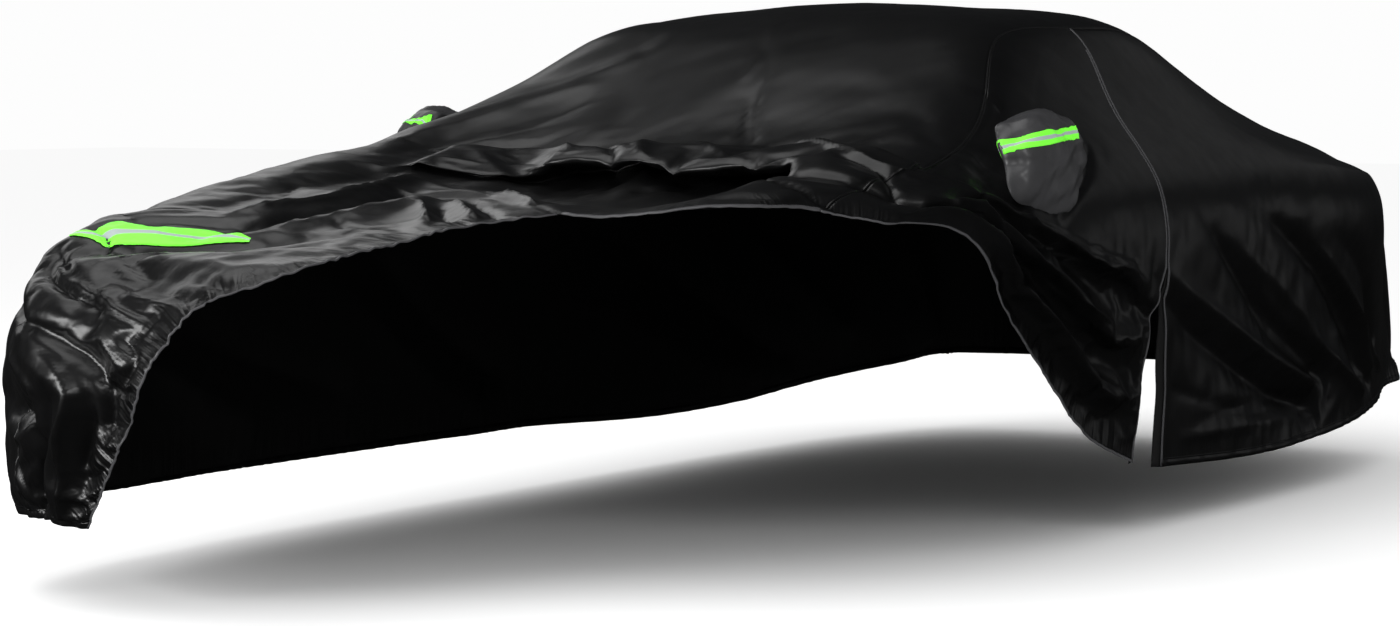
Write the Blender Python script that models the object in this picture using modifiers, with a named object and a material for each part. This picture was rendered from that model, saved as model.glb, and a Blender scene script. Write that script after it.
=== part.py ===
"""A fitted cover of glossy black cloth with two mirror pockets, reflective strips and a zip down its left side.

It is a hollow sheet, open underneath. Its left front quarter is drawn back: the cloth lies bunched across the
middle, its front hem shows, and the rest hangs in folds below the left pocket, in front of the open zip.

Places on the cover are given as (station, girth). Station counts the rows of STATIONS from nose to tail. Girth
runs from -3 at the right hem over 0 on the middle line to 3 at the left hem, with the roof seams near -1 and 1
and the belt lines at -2 and 2. Metres; x is out to the cover's left, s back from the nose, z up from the ground.
"""

import bmesh
import bpy
import numpy as np
from mathutils import Vector

ROOF_BACK = 2.70  # the origin is under the roof, this far behind the nose
ROOF_HEIGHT = 1.371  # and this far above the ground, just below the cloth
CLOTH = 0.0025  # thickness of a panel
SEAM_GAP = 0.0030  # between two panels along their seam
ZIP_GAP = 0.008  # between the two panels where the zip is shut
STRIP_LIFT = 0.0030  # from a panel to the reflective strip on it
STRIP_THICK = 0.0012
MM = 0.001

# Half outlines across the cover, at the middle line, the roof seam, the belt line and the hem.
STATIONS = [
    # name         middle s, z    seam x, s, z         belt x, s, z         hem x, s, z
    ("front_hem",  0.06, 0.180,  0.56, 0.10, 0.180,  0.765, 0.20, 0.180,  0.850, 0.34, 0.18),
    ("grille",     0.00, 0.380,  0.58, 0.04, 0.380,  0.822, 0.21, 0.370,  0.915, 0.60, 0.17),
    ("nose",       0.00, 0.600,  0.60, 0.06, 0.600,  0.843, 0.26, 0.570,  0.942, 0.85, 0.17),
    ("hood_lip",   0.11, 0.720,  0.62, 0.16, 0.715,  0.880, 0.42, 0.690,  0.965, 1.05, 0.17),
    ("hood_front", 0.45, 0.795,  0.66, 0.48, 0.795,  0.905, 0.72, 0.745,  0.970, 1.22, 0.17),
    ("hood_mid",   0.85, 0.845,  0.70, 0.90, 0.860,  0.930, 1.05, 0.795,  0.975, 1.42, 0.17),
    ("cowl",       1.35, 0.900,  0.76, 1.35, 0.915,  0.950, 1.40, 0.835,  0.980, 1.65, 0.17),
    ("glass_base", 1.65, 0.970,  0.80, 1.68, 0.965,  0.965, 1.72, 0.860,  0.980, 1.88, 0.17),
    ("glass_mid",  1.98, 1.140,  0.72, 2.05, 1.105,  0.970, 1.98, 0.875,  0.980, 2.08, 0.17),
    ("roof_front", 2.32, 1.320,  0.60, 2.35, 1.270,  0.970, 2.25, 0.880,  0.980, 2.28, 0.17),
    ("zip",        2.68, 1.372,  0.61, 2.72, 1.300,  0.965, 2.54, 0.880,  0.980, 2.47, 0.17),
    ("roof_rear",  3.15, 1.355,  0.60, 3.15, 1.275,  0.960, 3.05, 0.890,  0.980, 2.95, 0.15),
    ("back_glass", 3.60, 1.235,  0.60, 3.62, 1.130,  0.955, 3.55, 0.905,  0.980, 3.45, 0.15),
    ("deck_front", 4.05, 1.075,  0.62, 4.08, 1.005,  0.935, 4.00, 0.885,  0.962, 3.90, 0.18),
    ("deck_rear",  4.48, 0.970,  0.64, 4.45, 0.930,  0.845, 4.30, 0.840,  0.905, 4.20, 0.21),
    ("tail",       4.70, 0.845,  0.62, 4.64, 0.815,  0.785, 4.50, 0.710,  0.845, 4.40, 0.23),
    ("rear_face",  4.76, 0.550,  0.60, 4.70, 0.530,  0.760, 4.60, 0.480,  0.840, 4.54, 0.24),
    ("rear_hem",   4.70, 0.250,  0.60, 4.66, 0.250,  0.720, 4.62, 0.250,  0.780, 4.58, 0.25),
]
REAR = len(STATIONS) - 1
ZIP_STATION = 10
HEM = 3.0
GIRTH = np.linspace(-HEM, HEM, 49)

# The front edge, from the nose's lower corner up to the bunched cloth: station and girth.
HOOD_HEM = [
    (0, -0.73), (0.60, -0.53), (1.15, -0.39), (1.9, -0.24), (2.58, -0.13), (2.9, -0.03),
    (3.2, 0.09), (3.65, 0.14), (4.42, 0.13), (4.88, 0.20), (5.15, 0.30),
]

# Folds of the bunched cloth, from its back edge down to its front hem. Each profile gives how far a fold lies
# between the two (0 to 1) and how high it stands off the body in mm.
FOLD_LINES = ["back", "slope", "top", "top_lip", "top_under", "mid_back", "mid", "mid_lip", "mid_under",
              "low_back", "low", "low_lip", "hem"]
FLAT = [(i / 12, 0) for i in range(13)]
TONGUE = [(0, 0), (0.04, 12), (0.12, 32), (0.24, 36), (0.36, 35), (0.46, 34), (0.55, 30), (0.62, 19),
          (0.54, 4), (0.68, 3), (0.84, 6), (0.93, 4), (1, 2)]
PILE = [(0, 0), (0.08, 18), (0.16, 42), (0.215, 30), (0.15, 6), (0.30, 7), (0.43, 40), (0.485, 28),
        (0.43, 6), (0.63, 6), (0.82, 27), (0.93, 17), (1, 4)]
FACET = [(0, 0), (0.06, 14), (0.13, 34), (0.22, 35), (0.33, 33), (0.45, 31), (0.53, 33), (0.60, 26),
         (0.64, 12), (0.72, 20), (0.84, 20), (0.93, 12), (1, 4)]
CORNER = [(0, 2), (0.05, 12), (0.12, 26), (0.18, 20), (0.22, 0), (0.30, 4), (0.40, 28), (0.46, 20),
          (0.50, -2), (0.60, 6), (0.74, 32), (0.84, 22), (1, 4)]
DOOR = [(0, 3), (0.02, 12), (0.05, 20), (0.09, 12), (0.12, -26), (0.24, -24), (0.37, 16), (0.42, 4),
        (0.45, -32), (0.58, -30), (0.72, 24), (0.80, -18), (1, -14)]
ZIP_EDGE = [(0, 2), (0.08, 4), (0.15, 7), (0.19, 1), (0.23, -8), (0.28, -2), (0.35, 6), (0.41, 7),
            (0.48, 6), (0.56, 7), (0.66, 10), (0.80, 12), (1, 12)]

# The bunched cloth from the right roof seam, across the middle and round the left pocket, to the zip.
BUNCH = [
    # name            back edge       front hem       profile   panels' columns up to the next row
    ("right_seam",   (6.60, -1.27), (4.90, -1.45), FLAT,     2),
    ("right_hood",   (6.62, -1.05), (5.05, -1.05), FLAT,     3),
    ("tongue_side",  (6.72, -0.72), (5.35, -0.70), FLAT,     1),
    ("tongue_tip",   (6.78, -0.61), (5.50, -0.58), TONGUE,   2),
    ("tongue",       (6.98, -0.40), (5.60, -0.38), TONGUE,   2),
    ("middle",       (7.10, -0.15), (5.48, -0.08), PILE,     3),
    ("hem_corner",   (7.22, 0.16),  (5.15, 0.30),  PILE,     2),
    ("left_hood",    (7.24, 0.42),  (5.05, 0.62),  PILE,     2),
    ("facet_start",  (7.08, 0.66),  (5.15, 0.93),  FACET,    2),
    ("left_seam",    (6.76, 1.00),  (5.42, 1.36),  FACET,    3),
    ("fender",       (6.70, 1.50),  (5.60, 1.88),  FACET,    3),
    ("mirror_foot",  (6.86, 1.93),  (6.10, 2.07),  CORNER,   2),
    ("door_front",   (7.22, 2.09),  (6.55, 2.33),  DOOR,     4),
    ("door_mid",     (8.15, 2.17),  (7.25, 2.54),  DOOR,     4),
    ("door_rear",    (9.05, 2.24),  (8.25, 2.82),  DOOR,     4),
    ("zip_edge",     (9.98, 2.28),  (9.32, 2.96),  ZIP_EDGE, 0),
]
LEFT_SEAM, HEM_CORNER = 9, 6  # rows of BUNCH
# The roof seam on the right side, from the front hem to the tail: station and girth.
RIGHT_SEAM = [(0, -1.5), BUNCH[0][2], BUNCH[0][1], (ZIP_STATION, -1.0), (REAR, -1.0)]
ZIP_FOOT = 2.28  # girth where the zip stops and the slit below it opens
SLIT = [(ZIP_FOOT, 10.0), (2.45, 10.06), (2.70, 10.15), (2.97, 10.15)]  # rear edge of the slit: girth, station

# Loose folds: a path of (station, girth) points, heights in mm at even steps along it, and the fold's half width
# and crest radius in mm. A trough has heights below zero.
FOLDS = [
    # name              path                                                        heights       width crest
    ("fender_tent",    [(2.9, -1.12), (5.2, -1.02), (7.2, -0.98), (9.2, -0.95)],    (26, 62, 50, 24), 170, 150),
    ("nose_tent",      [(2.9, -1.75), (3.3, -1.20), (3.9, -0.95)],                  (10, 14),         90, 40),
    ("hood_ridge",     [(4.2, -0.55), (4.9, -0.42), (5.4, -0.30)],                  (16, 20),         55, 20),
    ("hood_trough",    [(4.3, -0.74), (5.1, -0.76), (5.8, -0.66)],                  (-12, -16),       45, 16),
    ("screen_ridge",   [(6.6, -0.92), (7.5, -0.76), (8.4, -0.48)],                  (16, 8),          50, 24),
    ("screen_trough",  [(6.7, -0.80), (7.2, -0.64), (7.9, -0.47)],                  (-9, -4),         40, 16),
    ("screen_crease",  [(8.7, -0.04), (8.0, 0.11), (7.25, 0.26)],                   (-4, -13),        34, 10),
    ("screen_drape",   [(8.6, 0.10), (7.9, 0.28), (7.3, 0.42)],                     (3, 7),           70, 30),
    ("corner_trough",  [(2.45, -1.73), (2.0, -0.90), (1.75, -0.53), (1.03, -0.50)], (-10, -24),       32, 10),
    ("corner_ridge",   [(1.73, -0.93), (1.42, -0.66), (1.1, -0.73), (0.1, -0.90)],  (20, 24),         28, 7),
    ("corner_hollow",  [(1.45, -1.02), (0.9, -0.97), (0.2, -1.12)],                 (-22, -20),       42, 14),
    ("corner_pocket",  [(1.3, -0.60), (0.9, -0.62), (0.35, -0.72)],                 (-18, -22),       30, 12),
    ("corner_dimple",  [(1.35, -2.1), (1.25, -1.45), (1.25, -0.92)],                (-26, -34, -20),  46, 12),
    ("corner_bulge",   [(0.35, -1.9), (0.35, -1.5), (0.35, -1.25)],                 (6, 10),          50, 40),
    ("lip_trough",     [(3.3, -1.05), (2.8, -0.78), (2.45, -0.52), (1.95, -0.22)],  (-16, -10),       26, 8),
    ("lip_ridge",      [(3.25, -0.85), (2.7, -0.60), (2.2, -0.34)],                 (14, 10),         26, 8),
    ("lip_fan",        [(3.3, -0.60), (3.0, -0.40), (2.6, -0.12)],                  (-10, -8),        22, 8),
    ("wheel_sweep",    [(3.2, -2.1), (4.6, -2.45), (6.2, -2.75)],                   (14, 26),         60, 18),
    ("wheel_hollow",   [(2.4, -2.1), (3.4, -2.45), (4.6, -2.80)],                   (-12, -28),       60, 20),
    ("right_swag",     [(6.8, -2.1), (7.9, -2.5), (9.6, -2.8)],                     (10, 26),         55, 14),
    ("right_hollow",   [(6.4, -2.3), (7.4, -2.66), (8.8, -2.9)],                    (-10, -26),       50, 16),
    ("right_rear",     [(10.6, -2.2), (11.8, -2.55), (13.0, -2.88)],                (8, 24),          48, 12),
    ("right_rear_low", [(10.4, -2.4), (11.3, -2.7), (12.5, -2.9)],                  (-8, -28),        52, 16),
    ("right_corner",   [(11.9, -2.2), (12.9, -2.5), (13.8, -2.8)],                  (-8, -30),        50, 14),
    ("rear_ridge",     [(9.98, 2.32), (10.8, 2.49), (11.5, 2.64), (12.2, 2.78)],    (8, 30),          44, 9),
    ("rear_trough",    [(10.1, 2.42), (10.9, 2.62), (11.5, 2.76), (12.3, 2.88)],    (-16, -36),       50, 14),
    ("panel_trough",   [(10.5, 2.12), (11.0, 2.34), (11.5, 2.52), (12.4, 2.76)],    (-10, -32),       38, 10),
    ("panel_ridge",    [(10.8, 2.22), (11.6, 2.44), (12.3, 2.66), (13.1, 2.90)],    (8, 26),          38, 9),
    ("wheel_trough",   [(11.1, 2.12), (11.8, 2.30), (12.5, 2.50), (13.25, 2.86)],   (-14, -40),       50, 12),
    ("arch_ridge",     [(11.95, 2.28), (12.5, 2.42), (12.95, 2.56), (13.5, 2.82)],  (8, 22),          24, 5),
    ("arch_trough",    [(12.2, 2.26), (13.0, 2.44), (13.7, 2.72)],                  (-10, -28),       30, 8),
    ("tail_swag",      [(15.2, 1.6), (15.7, 0.6), (15.6, -0.5)],                    (8, 12),          60, 24),
    ("tail_hollow",    [(15.9, 1.5), (16.4, 0.5), (16.3, -0.7)],                    (-10, -12),       55, 20),
    ("tail_side",      [(14.3, 2.1), (15.1, 2.4), (16.2, 2.7)],                     (-10, -20),       45, 14),
    ("tail_side_r",    [(14.3, -2.1), (15.1, -2.4), (16.2, -2.7)],                  (-10, -20),       45, 14),
]
SLACK = 3.0  # mm of gentle unevenness over the whole cloth

# The mirror pockets: a seam on the side panel, and rings from the neck out to the tip, given for the left side.
# Tilt is how far a ring's top leans in for its height.
POCKET_SEAM = [(8.05, 1.66), (0.28, 0.24)]  # centre and half sizes in station and girth
POCKET_RINGS = [
    # x,    s,     z,     half length, half height, tilt
    (0.935, 1.945, 0.962, 0.121, 0.112, 0.50),
    (0.965, 1.938, 0.964, 0.120, 0.122, 0.24),
    (0.992, 1.932, 0.965, 0.100, 0.110, 0.08),
    (1.010, 1.928, 0.966, 0.056, 0.063, 0.00),
]
POCKET_NECK = [(0.25, 12), (0.55, 14)]  # rings of the neck: share of the way to the first ring, and bulge in mm
POCKET_SQUARE = 2.5  # 2 is an ellipse, more is boxier
POCKET_LEAN = 0.12  # the rings face outwards and this much forwards
POCKET_GAP = 0.0016  # between the pocket and the edge of its hole
POCKET_ROOT, POCKET_LIP = -0.010, 0.006  # the pocket's edge below the panel, and its upstand above the seam
POCKET_CLEAR = 0.008  # the least height of the pocket over the panel
POCKET_SHIFT = {1: 0.0, -1: -0.025}  # the right pocket is drawn in with its panel

# Edges of the strip on the nose's right corner: station and girth, from its outer to its inner end.
FRONT_STRIP = (
    [(3.45, -0.98), (3.62, -0.86), (3.95, -0.75), (4.12, -0.60), (4.14, -0.44)],  # upper edge
    [(3.28, -0.90), (3.34, -0.75), (3.52, -0.56), (3.74, -0.42), (3.92, -0.37)],  # lower edge
)
# Middle of the strip across a mirror pocket: x, s, z, from its inner end over the front to the tip's rear.
MIRROR_STRIP = [
    (0.850, 1.880, 0.972), (0.880, 1.848, 0.984), (0.930, 1.826, 0.999),
    (0.985, 1.842, 1.013), (1.010, 1.905, 1.022), (1.004, 1.975, 1.026),
]
MIRROR_STRIP_WIDTH = 0.038

ZIP_TAPE = 0.014  # how far a zip tape reaches back under its panel
TAPE_OPEN = 0.020  # and out of it where the zip is open


def spline_weights(knots, at):
    """How much each knot's value counts at each place, on the natural cubic curve through them."""
    count, gaps = len(knots), np.diff(knots)
    curve, bend = np.eye(count), np.zeros((count, count))
    for i in range(1, count - 1):
        before, after = gaps[i - 1], gaps[i]
        curve[i, i - 1 : i + 2] = before, 2 * (before + after), after
        bend[i, i - 1 : i + 2] = 6 / before, -6 / before - 6 / after, 6 / after
    second = np.linalg.solve(curve, bend)
    span = np.clip(np.searchsorted(knots, at, side="right") - 1, 0, count - 2)
    gap = gaps[span][:, None]
    right = (at - knots[span])[:, None] / gap
    left = 1 - right
    ends = np.eye(count)
    arch = (left**3 - left) * second[span] + (right**3 - right) * second[span + 1]
    return left * ends[span] + right * ends[span + 1] + arch * gap**2 / 6


def curve_through(points, at):
    """Places at 0 to 1 along the smooth curve through a few points."""
    points = np.array(points, float)
    chord = np.linalg.norm(np.diff(points, axis=0), axis=1)
    knots = np.concatenate([[0], np.cumsum(chord)]) / chord.sum()
    return spline_weights(knots, np.asarray(at, float)) @ points


def half_outline(row):
    """One station's seven points from the middle line down to the left hem."""
    _, s, z, *rest = row
    middle = np.array([0, s, z])
    seam, belt, hem = np.reshape(rest, (3, 3))
    crown = middle + (seam - middle) * [0.55, 0.25, 0.22]
    skirt = belt * 0.48 + hem * 0.52 + [0.012, 0, 0]
    return np.array([middle, crown, seam, (seam + belt) / 2, belt, skirt, hem])


def station_net():
    """Every station's outline as evenly numbered points from hem to hem."""
    net = []
    for row in STATIONS:
        half = half_outline(row)
        whole = np.vstack([half[:0:-1] * [-1, 1, 1], half])
        chord = np.linalg.norm(np.diff(whole, axis=0), axis=1)
        knots = np.concatenate([[0], np.cumsum(chord)])
        at = np.interp(GIRTH, np.linspace(-HEM, HEM, 13), knots)
        net.append(spline_weights(knots, at) @ whole)
    return np.array(net)


NET = station_net()
STEPS = np.linalg.norm(np.diff(NET[:, 8:41:8], axis=0), axis=2).mean(axis=1)
ALONG = np.concatenate([[0], np.cumsum(STEPS)])  # metres from the front hem to each station


def body_points(places):
    """Points of the smooth cover, before any fold, at (station, girth) places."""
    along = spline_weights(ALONG, np.interp(places[:, 0], np.arange(REAR + 1), ALONG))
    across = spline_weights(GIRTH, np.clip(places[:, 1], -HEM, HEM))
    return np.einsum("ni,nj,ijk->nk", along, across, NET, optimize=True)


def outward(places, step=0.02):
    """Unit normals of the smooth cover."""
    ahead, behind = places - [step, 0], places + [step, 0]
    right, left = places - [0, step], places + [0, step]
    ahead[:, 0] = np.maximum(ahead[:, 0], 0)
    behind[:, 0] = np.minimum(behind[:, 0], REAR)
    back = body_points(behind) - body_points(ahead)
    normal = np.cross(body_points(left) - body_points(right), back)
    return normal / np.linalg.norm(normal, axis=1, keepdims=True)


def nearest_on(path, points):
    """Distance from each point to a line of points, and how far along the line its foot lies, 0 to 1."""
    best = np.full(len(points), np.inf)
    share = np.zeros(len(points))
    for i, (start, end) in enumerate(zip(path, path[1:])):
        edge = end - start
        along = np.clip((points - start) @ edge / (edge @ edge), 0, 1)
        away = np.linalg.norm(points - start - along[:, None] * edge, axis=1)
        closer = away < best
        best[closer] = away[closer]
        share[closer] = (i + along[closer]) / (len(path) - 1)
    return best, share


def fold_heights(points):
    """How far the loose folds and the slack lift the cloth off the smooth cover, in metres."""
    x, s, z = points.T
    lift = SLACK * MM * (np.sin(9 * s + 5 * x + 7 * z) + np.sin(13 * x - 6 * s + 4 * z + 1)) / 2
    for _, path, heights, width, crest in FOLDS:
        line = body_points(curve_through(path, np.linspace(0, 1, 13)))
        away, share = nearest_on(line, points)
        fall = np.exp((crest - np.hypot(away / MM, crest)) / width)
        fade = np.clip(share / 0.15, 0, 1) * np.clip((1 - share) / 0.08, 0, 1) ** 0.5
        height = np.interp(share, np.linspace(0, 1, len(heights)), heights)
        lift += height * MM * fall * (0.25 + 0.75 * fade)
    return lift


def draped(places, rises=0.0):
    """Points of the finished cloth, as a grid like the grid of places."""
    flat = np.reshape(places, (-1, 2))
    points = body_points(flat)
    lift = fold_heights(points) + np.ravel(rises)
    return (points + outward(flat) * lift[:, None]).reshape(np.shape(places)[:-1] + (3,))


def smooth_step(t):
    return t * t * (3 - 2 * t)


def bunch(rows, columns):
    """Places and rises of the bunched cloth; rows count from the hem (0) to the back edge (12)."""
    knots = np.arange(len(BUNCH))
    ends = spline_weights(knots, columns) @ np.array([(*row[1], *row[2]) for row in BUNCH])
    profiles = np.array([row[3] for row in BUNCH], float)
    first = np.clip(columns.astype(int), 0, len(BUNCH) - 2)
    mix = smooth_step(columns - first)[:, None, None]
    profile = profiles[first] * (1 - mix) + profiles[first + 1] * mix
    across = spline_weights(np.arange(13), 12 - rows)
    share, rise = np.moveaxis(np.einsum("rf,cfk->rck", across, profile), 2, 0)
    places = ends[None, :, :2] * (1 - share[..., None]) + ends[None, :, 2:] * share[..., None]
    return places, rise * MM


def columns_between(first, last):
    """Column numbers of the mesh between two rows of BUNCH."""
    parts = [np.linspace(i, i + 1, BUNCH[i][4], endpoint=False) for i in range(first, last)]
    return np.concatenate([*parts, [last]])


def stations_between(first, last, count):
    """Stations an even distance apart along the cover."""
    metres = np.interp([first, last], np.arange(REAR + 1), ALONG)
    return np.interp(np.linspace(*metres, count + 1), ALONG, np.arange(REAR + 1))


BUNCH_ROWS = np.linspace(0, 12, 21)
FRONT_ROWS = stations_between(0, BUNCH[0][2][0], 34)
TAIL_ROWS = stations_between(ZIP_STATION, REAR, 24)
LEFT_REAR_ROWS = stations_between(ZIP_STATION, REAR, 2 * (len(TAIL_ROWS) - 1))
TOP_COLUMNS = columns_between(0, LEFT_SEAM)
SCREEN_SHARES = np.linspace(0, 1, 12)  # from the bunched cloth's back edge to the zip's top


def top_panel_places():
    """The top panel in four blocks, front to rear; the front block stops at the front hem."""
    bunched, rises = bunch(BUNCH_ROWS, TOP_COLUMNS)
    roof = np.array([(ZIP_STATION, g) for g in np.interp(TOP_COLUMNS, np.arange(10),
                    [-1, -0.82, -0.66, -0.54, -0.36, -0.12, 0.18, 0.44, 0.70, 1])])
    corner = np.searchsorted(TOP_COLUMNS, HEM_CORNER)

    share = (FRONT_ROWS / FRONT_ROWS[-1])[:, None, None]
    along = (TOP_COLUMNS[: corner + 1] / HEM_CORNER)[None, :, None]
    nose = np.array([(0, RIGHT_SEAM[0][1] + (HOOD_HEM[0][1] - RIGHT_SEAM[0][1]) * c) for c in along.ravel()])
    plain = nose * (1 - share) + bunched[0, : corner + 1] * share
    hem_station = share.ravel() * HOOD_HEM[-1][0]
    hem_table = np.array(HOOD_HEM)
    hem_girth = spline_weights(hem_table[:, 0], hem_station) @ hem_table[:, 1]
    hem_line = np.column_stack([hem_station, hem_girth])
    front = plain + along**2 * (hem_line[:, None] - plain[:, -1:])

    share = SCREEN_SHARES[:, None, None]
    screen = bunched[-1] * (1 - share) + roof * share
    tail = np.array([[(station, girth) for girth in roof[:, 1]] for station in TAIL_ROWS])
    return front, bunched, rises, screen, tail


def top_panel_grid():
    """One grid of points for the top panel, NaN where the front hem leaves no cloth."""
    front, bunched, rises, screen, tail = top_panel_places()
    whole = np.vstack([bunched, screen[1:], tail[1:]])
    lifts = np.vstack([rises, np.zeros((len(whole) - len(rises), len(TOP_COLUMNS)))])
    rear = draped(whole, lifts)
    hood = np.full((len(front) - 1, len(TOP_COLUMNS), 3), np.nan)
    hood[:, : front.shape[1]] = draped(front[:-1])
    return np.vstack([hood, rear])


def side_left_front_grid():
    """The left front panel: the rest of the bunched cloth, and above it rows that close in on the zip's top."""
    columns = columns_between(LEFT_SEAM, len(BUNCH) - 1)
    bunched, rises = bunch(BUNCH_ROWS, columns)
    top = np.array([ZIP_STATION, 1.0])
    shares = SCREEN_SHARES[1:, None, None]
    upper = bunched[-1] * (1 - shares) + top * shares
    fading = rises[-1] * (1 - shares[..., 0])
    return draped(np.vstack([bunched, upper]), np.vstack([rises, fading]))


def side_right_grid(rows_down=9):
    """The right panel, from its hem up to the roof seam; its rows meet the top panel's."""
    hem, back = BUNCH[0][2][0], BUNCH[0][1][0]
    stations = np.concatenate([FRONT_ROWS[:-1:2], np.linspace(hem, back, 5, endpoint=False),
                               back + (ZIP_STATION - back) * SCREEN_SHARES[:-1], TAIL_ROWS])
    seam = np.interp(stations, *np.array(RIGHT_SEAM).T)
    share = np.linspace(0, 1, rows_down + 1)
    girths = -HEM + (seam[:, None] + HEM) * share
    return draped(np.dstack([np.broadcast_to(stations[:, None], girths.shape), girths]))


def side_left_rear_grid(rows_down=16):
    """The left rear panel, from the roof seam down to its hem; its front edge follows the zip and the slit."""
    girths = np.linspace(1, HEM, rows_down + 1)
    edge = np.interp(girths, *np.array(SLIT).T)
    share = (LEFT_REAR_ROWS - ZIP_STATION)[:, None] / (REAR - ZIP_STATION)
    stations = edge + (REAR - edge) * share
    return draped(np.dstack([stations, np.broadcast_to(girths, stations.shape)]))


def pull_in(grid, row=None, column=None, by=SEAM_GAP / 2):
    """Moves one edge of a grid back from its seam, towards the next line of points."""
    edge, inner = (grid[row], grid[row + (1 if row == 0 else -1)]) if column is None else (
        grid[:, column], grid[:, column + (1 if column == 0 else -1)])
    away = inner - edge
    length = np.linalg.norm(away, axis=1, keepdims=True)
    edge += np.where(length > by, away / np.maximum(length, by) * by, 0)


def material(name, colour, roughness, metallic=0.0):
    made = bpy.data.materials.new(name)
    made.use_nodes = True
    shader = made.node_tree.nodes["Principled BSDF"]
    shader.inputs["Base Color"].default_value = (*colour, 1)
    shader.inputs["Roughness"].default_value = roughness
    shader.inputs["Metallic"].default_value = metallic
    return made


def in_frame(point):
    """A point (x, s, z) measured from the origin under the roof."""
    return Vector((point[0], point[1] - ROOF_BACK, point[2] - ROOF_HEIGHT))


def sheet(name, grid, collection, thickness, finish, closed=False):
    """An object from a grid of points: one face a cell, thickened inwards."""
    mesh = bmesh.new()
    verts = [[None if np.isnan(p[0]) else mesh.verts.new(in_frame(p)) for p in row] for row in grid]
    width = len(grid[0])
    for i in range(len(grid) - 1):
        for j in range(width if closed else width - 1):
            k = (j + 1) % width
            corners = [verts[i][j], verts[i][k], verts[i + 1][k], verts[i + 1][j]]
            if None not in corners:
                mesh.faces.new(corners)
    bmesh.ops.remove_doubles(mesh, verts=mesh.verts, dist=0.0001)
    bmesh.ops.delete(mesh, geom=[v for v in mesh.verts if not v.link_faces], context="VERTS")
    data = bpy.data.meshes.new(name)
    mesh.to_mesh(data)
    mesh.free()
    data.shade_smooth()
    made = bpy.data.objects.new(name, data)
    collection.objects.link(made)
    data.materials.append(finish)
    thicken = made.modifiers.new("thickness", "SOLIDIFY")
    thicken.thickness = thickness
    thicken.offset = -1
    return made


def squared(around):
    """Unit points of a rounded square, counted from the rear through the top."""
    angles = np.linspace(0, 2 * np.pi, around, endpoint=False)
    circle = np.column_stack([np.cos(angles), np.sin(angles)])
    return np.sign(circle) * np.abs(circle) ** (2 / POCKET_SQUARE)


def pocket_seam(side, around, gap=0.0):
    """The seam where a pocket joins its panel, on the left (side 1) or the right (side -1), and its normals."""
    centre, half = np.array(POCKET_SEAM)
    places = (centre + half * squared(around) * [1, -1]) * [1, side]
    seam = draped(places[None])[0]
    inwards = seam.mean(axis=0) - seam
    inwards /= np.linalg.norm(inwards, axis=1, keepdims=True)
    return seam + inwards * gap, outward(places)


def stand_clear(points, side):
    """Pushes a pocket's points out to at least POCKET_CLEAR above the panel."""
    centre = np.array(POCKET_SEAM[0]) * [1, side]
    steps = np.linspace(-0.8, 0.8, 41)
    places = centre + np.dstack(np.meshgrid(steps, steps)).reshape(-1, 2)
    surface, normals = draped(places[None])[0], outward(places)
    nearest = np.linalg.norm(points[:, None] - surface[None], axis=2).argmin(axis=1)
    height = np.sum((points - surface[nearest]) * normals[nearest], axis=1, keepdims=True)
    return points + normals[nearest] * np.maximum(POCKET_CLEAR - height, 0)


def pocket_grid(side, around=20):
    """Rings of one mirror pocket from its edge below the panel, through the seam, to the middle of its tip."""
    seam, normals = pocket_seam(side, around, POCKET_GAP)
    shape = squared(around)
    rings = []
    for x, s, z, length, height, tilt in POCKET_RINGS:
        back, up = (shape * [length, height]).T
        across = side * (x + POCKET_SHIFT[side] + POCKET_LEAN * back - tilt * up)
        rings.append(stand_clear(np.column_stack([across, s + back, z + up]), side))
    neck = [stand_clear(seam * (1 - share) + rings[0] * share + normals * bulge * MM, side)
            for share, bulge in POCKET_NECK]
    tip = np.repeat(rings[-1].mean(axis=0, keepdims=True) + [side * 0.003, 0, 0], around, axis=0)
    grid = np.array([seam + normals * POCKET_ROOT, seam + normals * POCKET_LIP, *neck, *rings, tip])
    return grid if side > 0 else grid[:, ::-1]


def pocket_hole(side, cutters, around=20):
    """A cutter through the panel where a mirror pocket is sewn in."""
    seam, normals = pocket_seam(side, around)
    mesh = bmesh.new()
    loops = [[mesh.verts.new(in_frame(p)) for p in seam + normals * reach] for reach in (-0.03, 0.03)]
    for i in range(around):
        j = (i + 1) % around
        mesh.faces.new([loops[0][i], loops[0][j], loops[1][j], loops[1][i]])
    for loop in loops:
        mesh.faces.new(loop)
    bmesh.ops.recalc_face_normals(mesh, faces=mesh.faces)
    data = bpy.data.meshes.new("pocket_hole")
    mesh.to_mesh(data)
    mesh.free()
    cutter = bpy.data.objects.new("pocket_hole", data)
    cutters.objects.link(cutter)
    cutter.hide_render = True
    cutter.display_type = "WIRE"
    return cutter


def cut(obj, cutter):
    hole = obj.modifiers.new("hole", "BOOLEAN")
    hole.operation = "DIFFERENCE"
    hole.object = cutter


def reflective_strip(name, grid, target, collection, finish):
    """A strip that follows the panel or pocket it is sewn on."""
    made = sheet(name, grid, collection, STRIP_THICK, finish)
    made.modifiers["thickness"].offset = 1
    wrap = made.modifiers.new("wrap", "SHRINKWRAP")
    wrap.target = target
    wrap.wrap_method = "NEAREST_SURFACEPOINT"
    wrap.wrap_mode = "ABOVE_SURFACE"
    wrap.offset = STRIP_LIFT
    made.modifiers.move(1, 0)
    return made


def front_strip_grid(along=16, across=4):
    upper, lower = (curve_through(edge, np.linspace(0, 1, along)) for edge in FRONT_STRIP)
    share = np.linspace(0, 1, across)[:, None, None]
    grid = draped(lower[None] * (1 - share) + upper[None] * share)
    return grid


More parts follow.
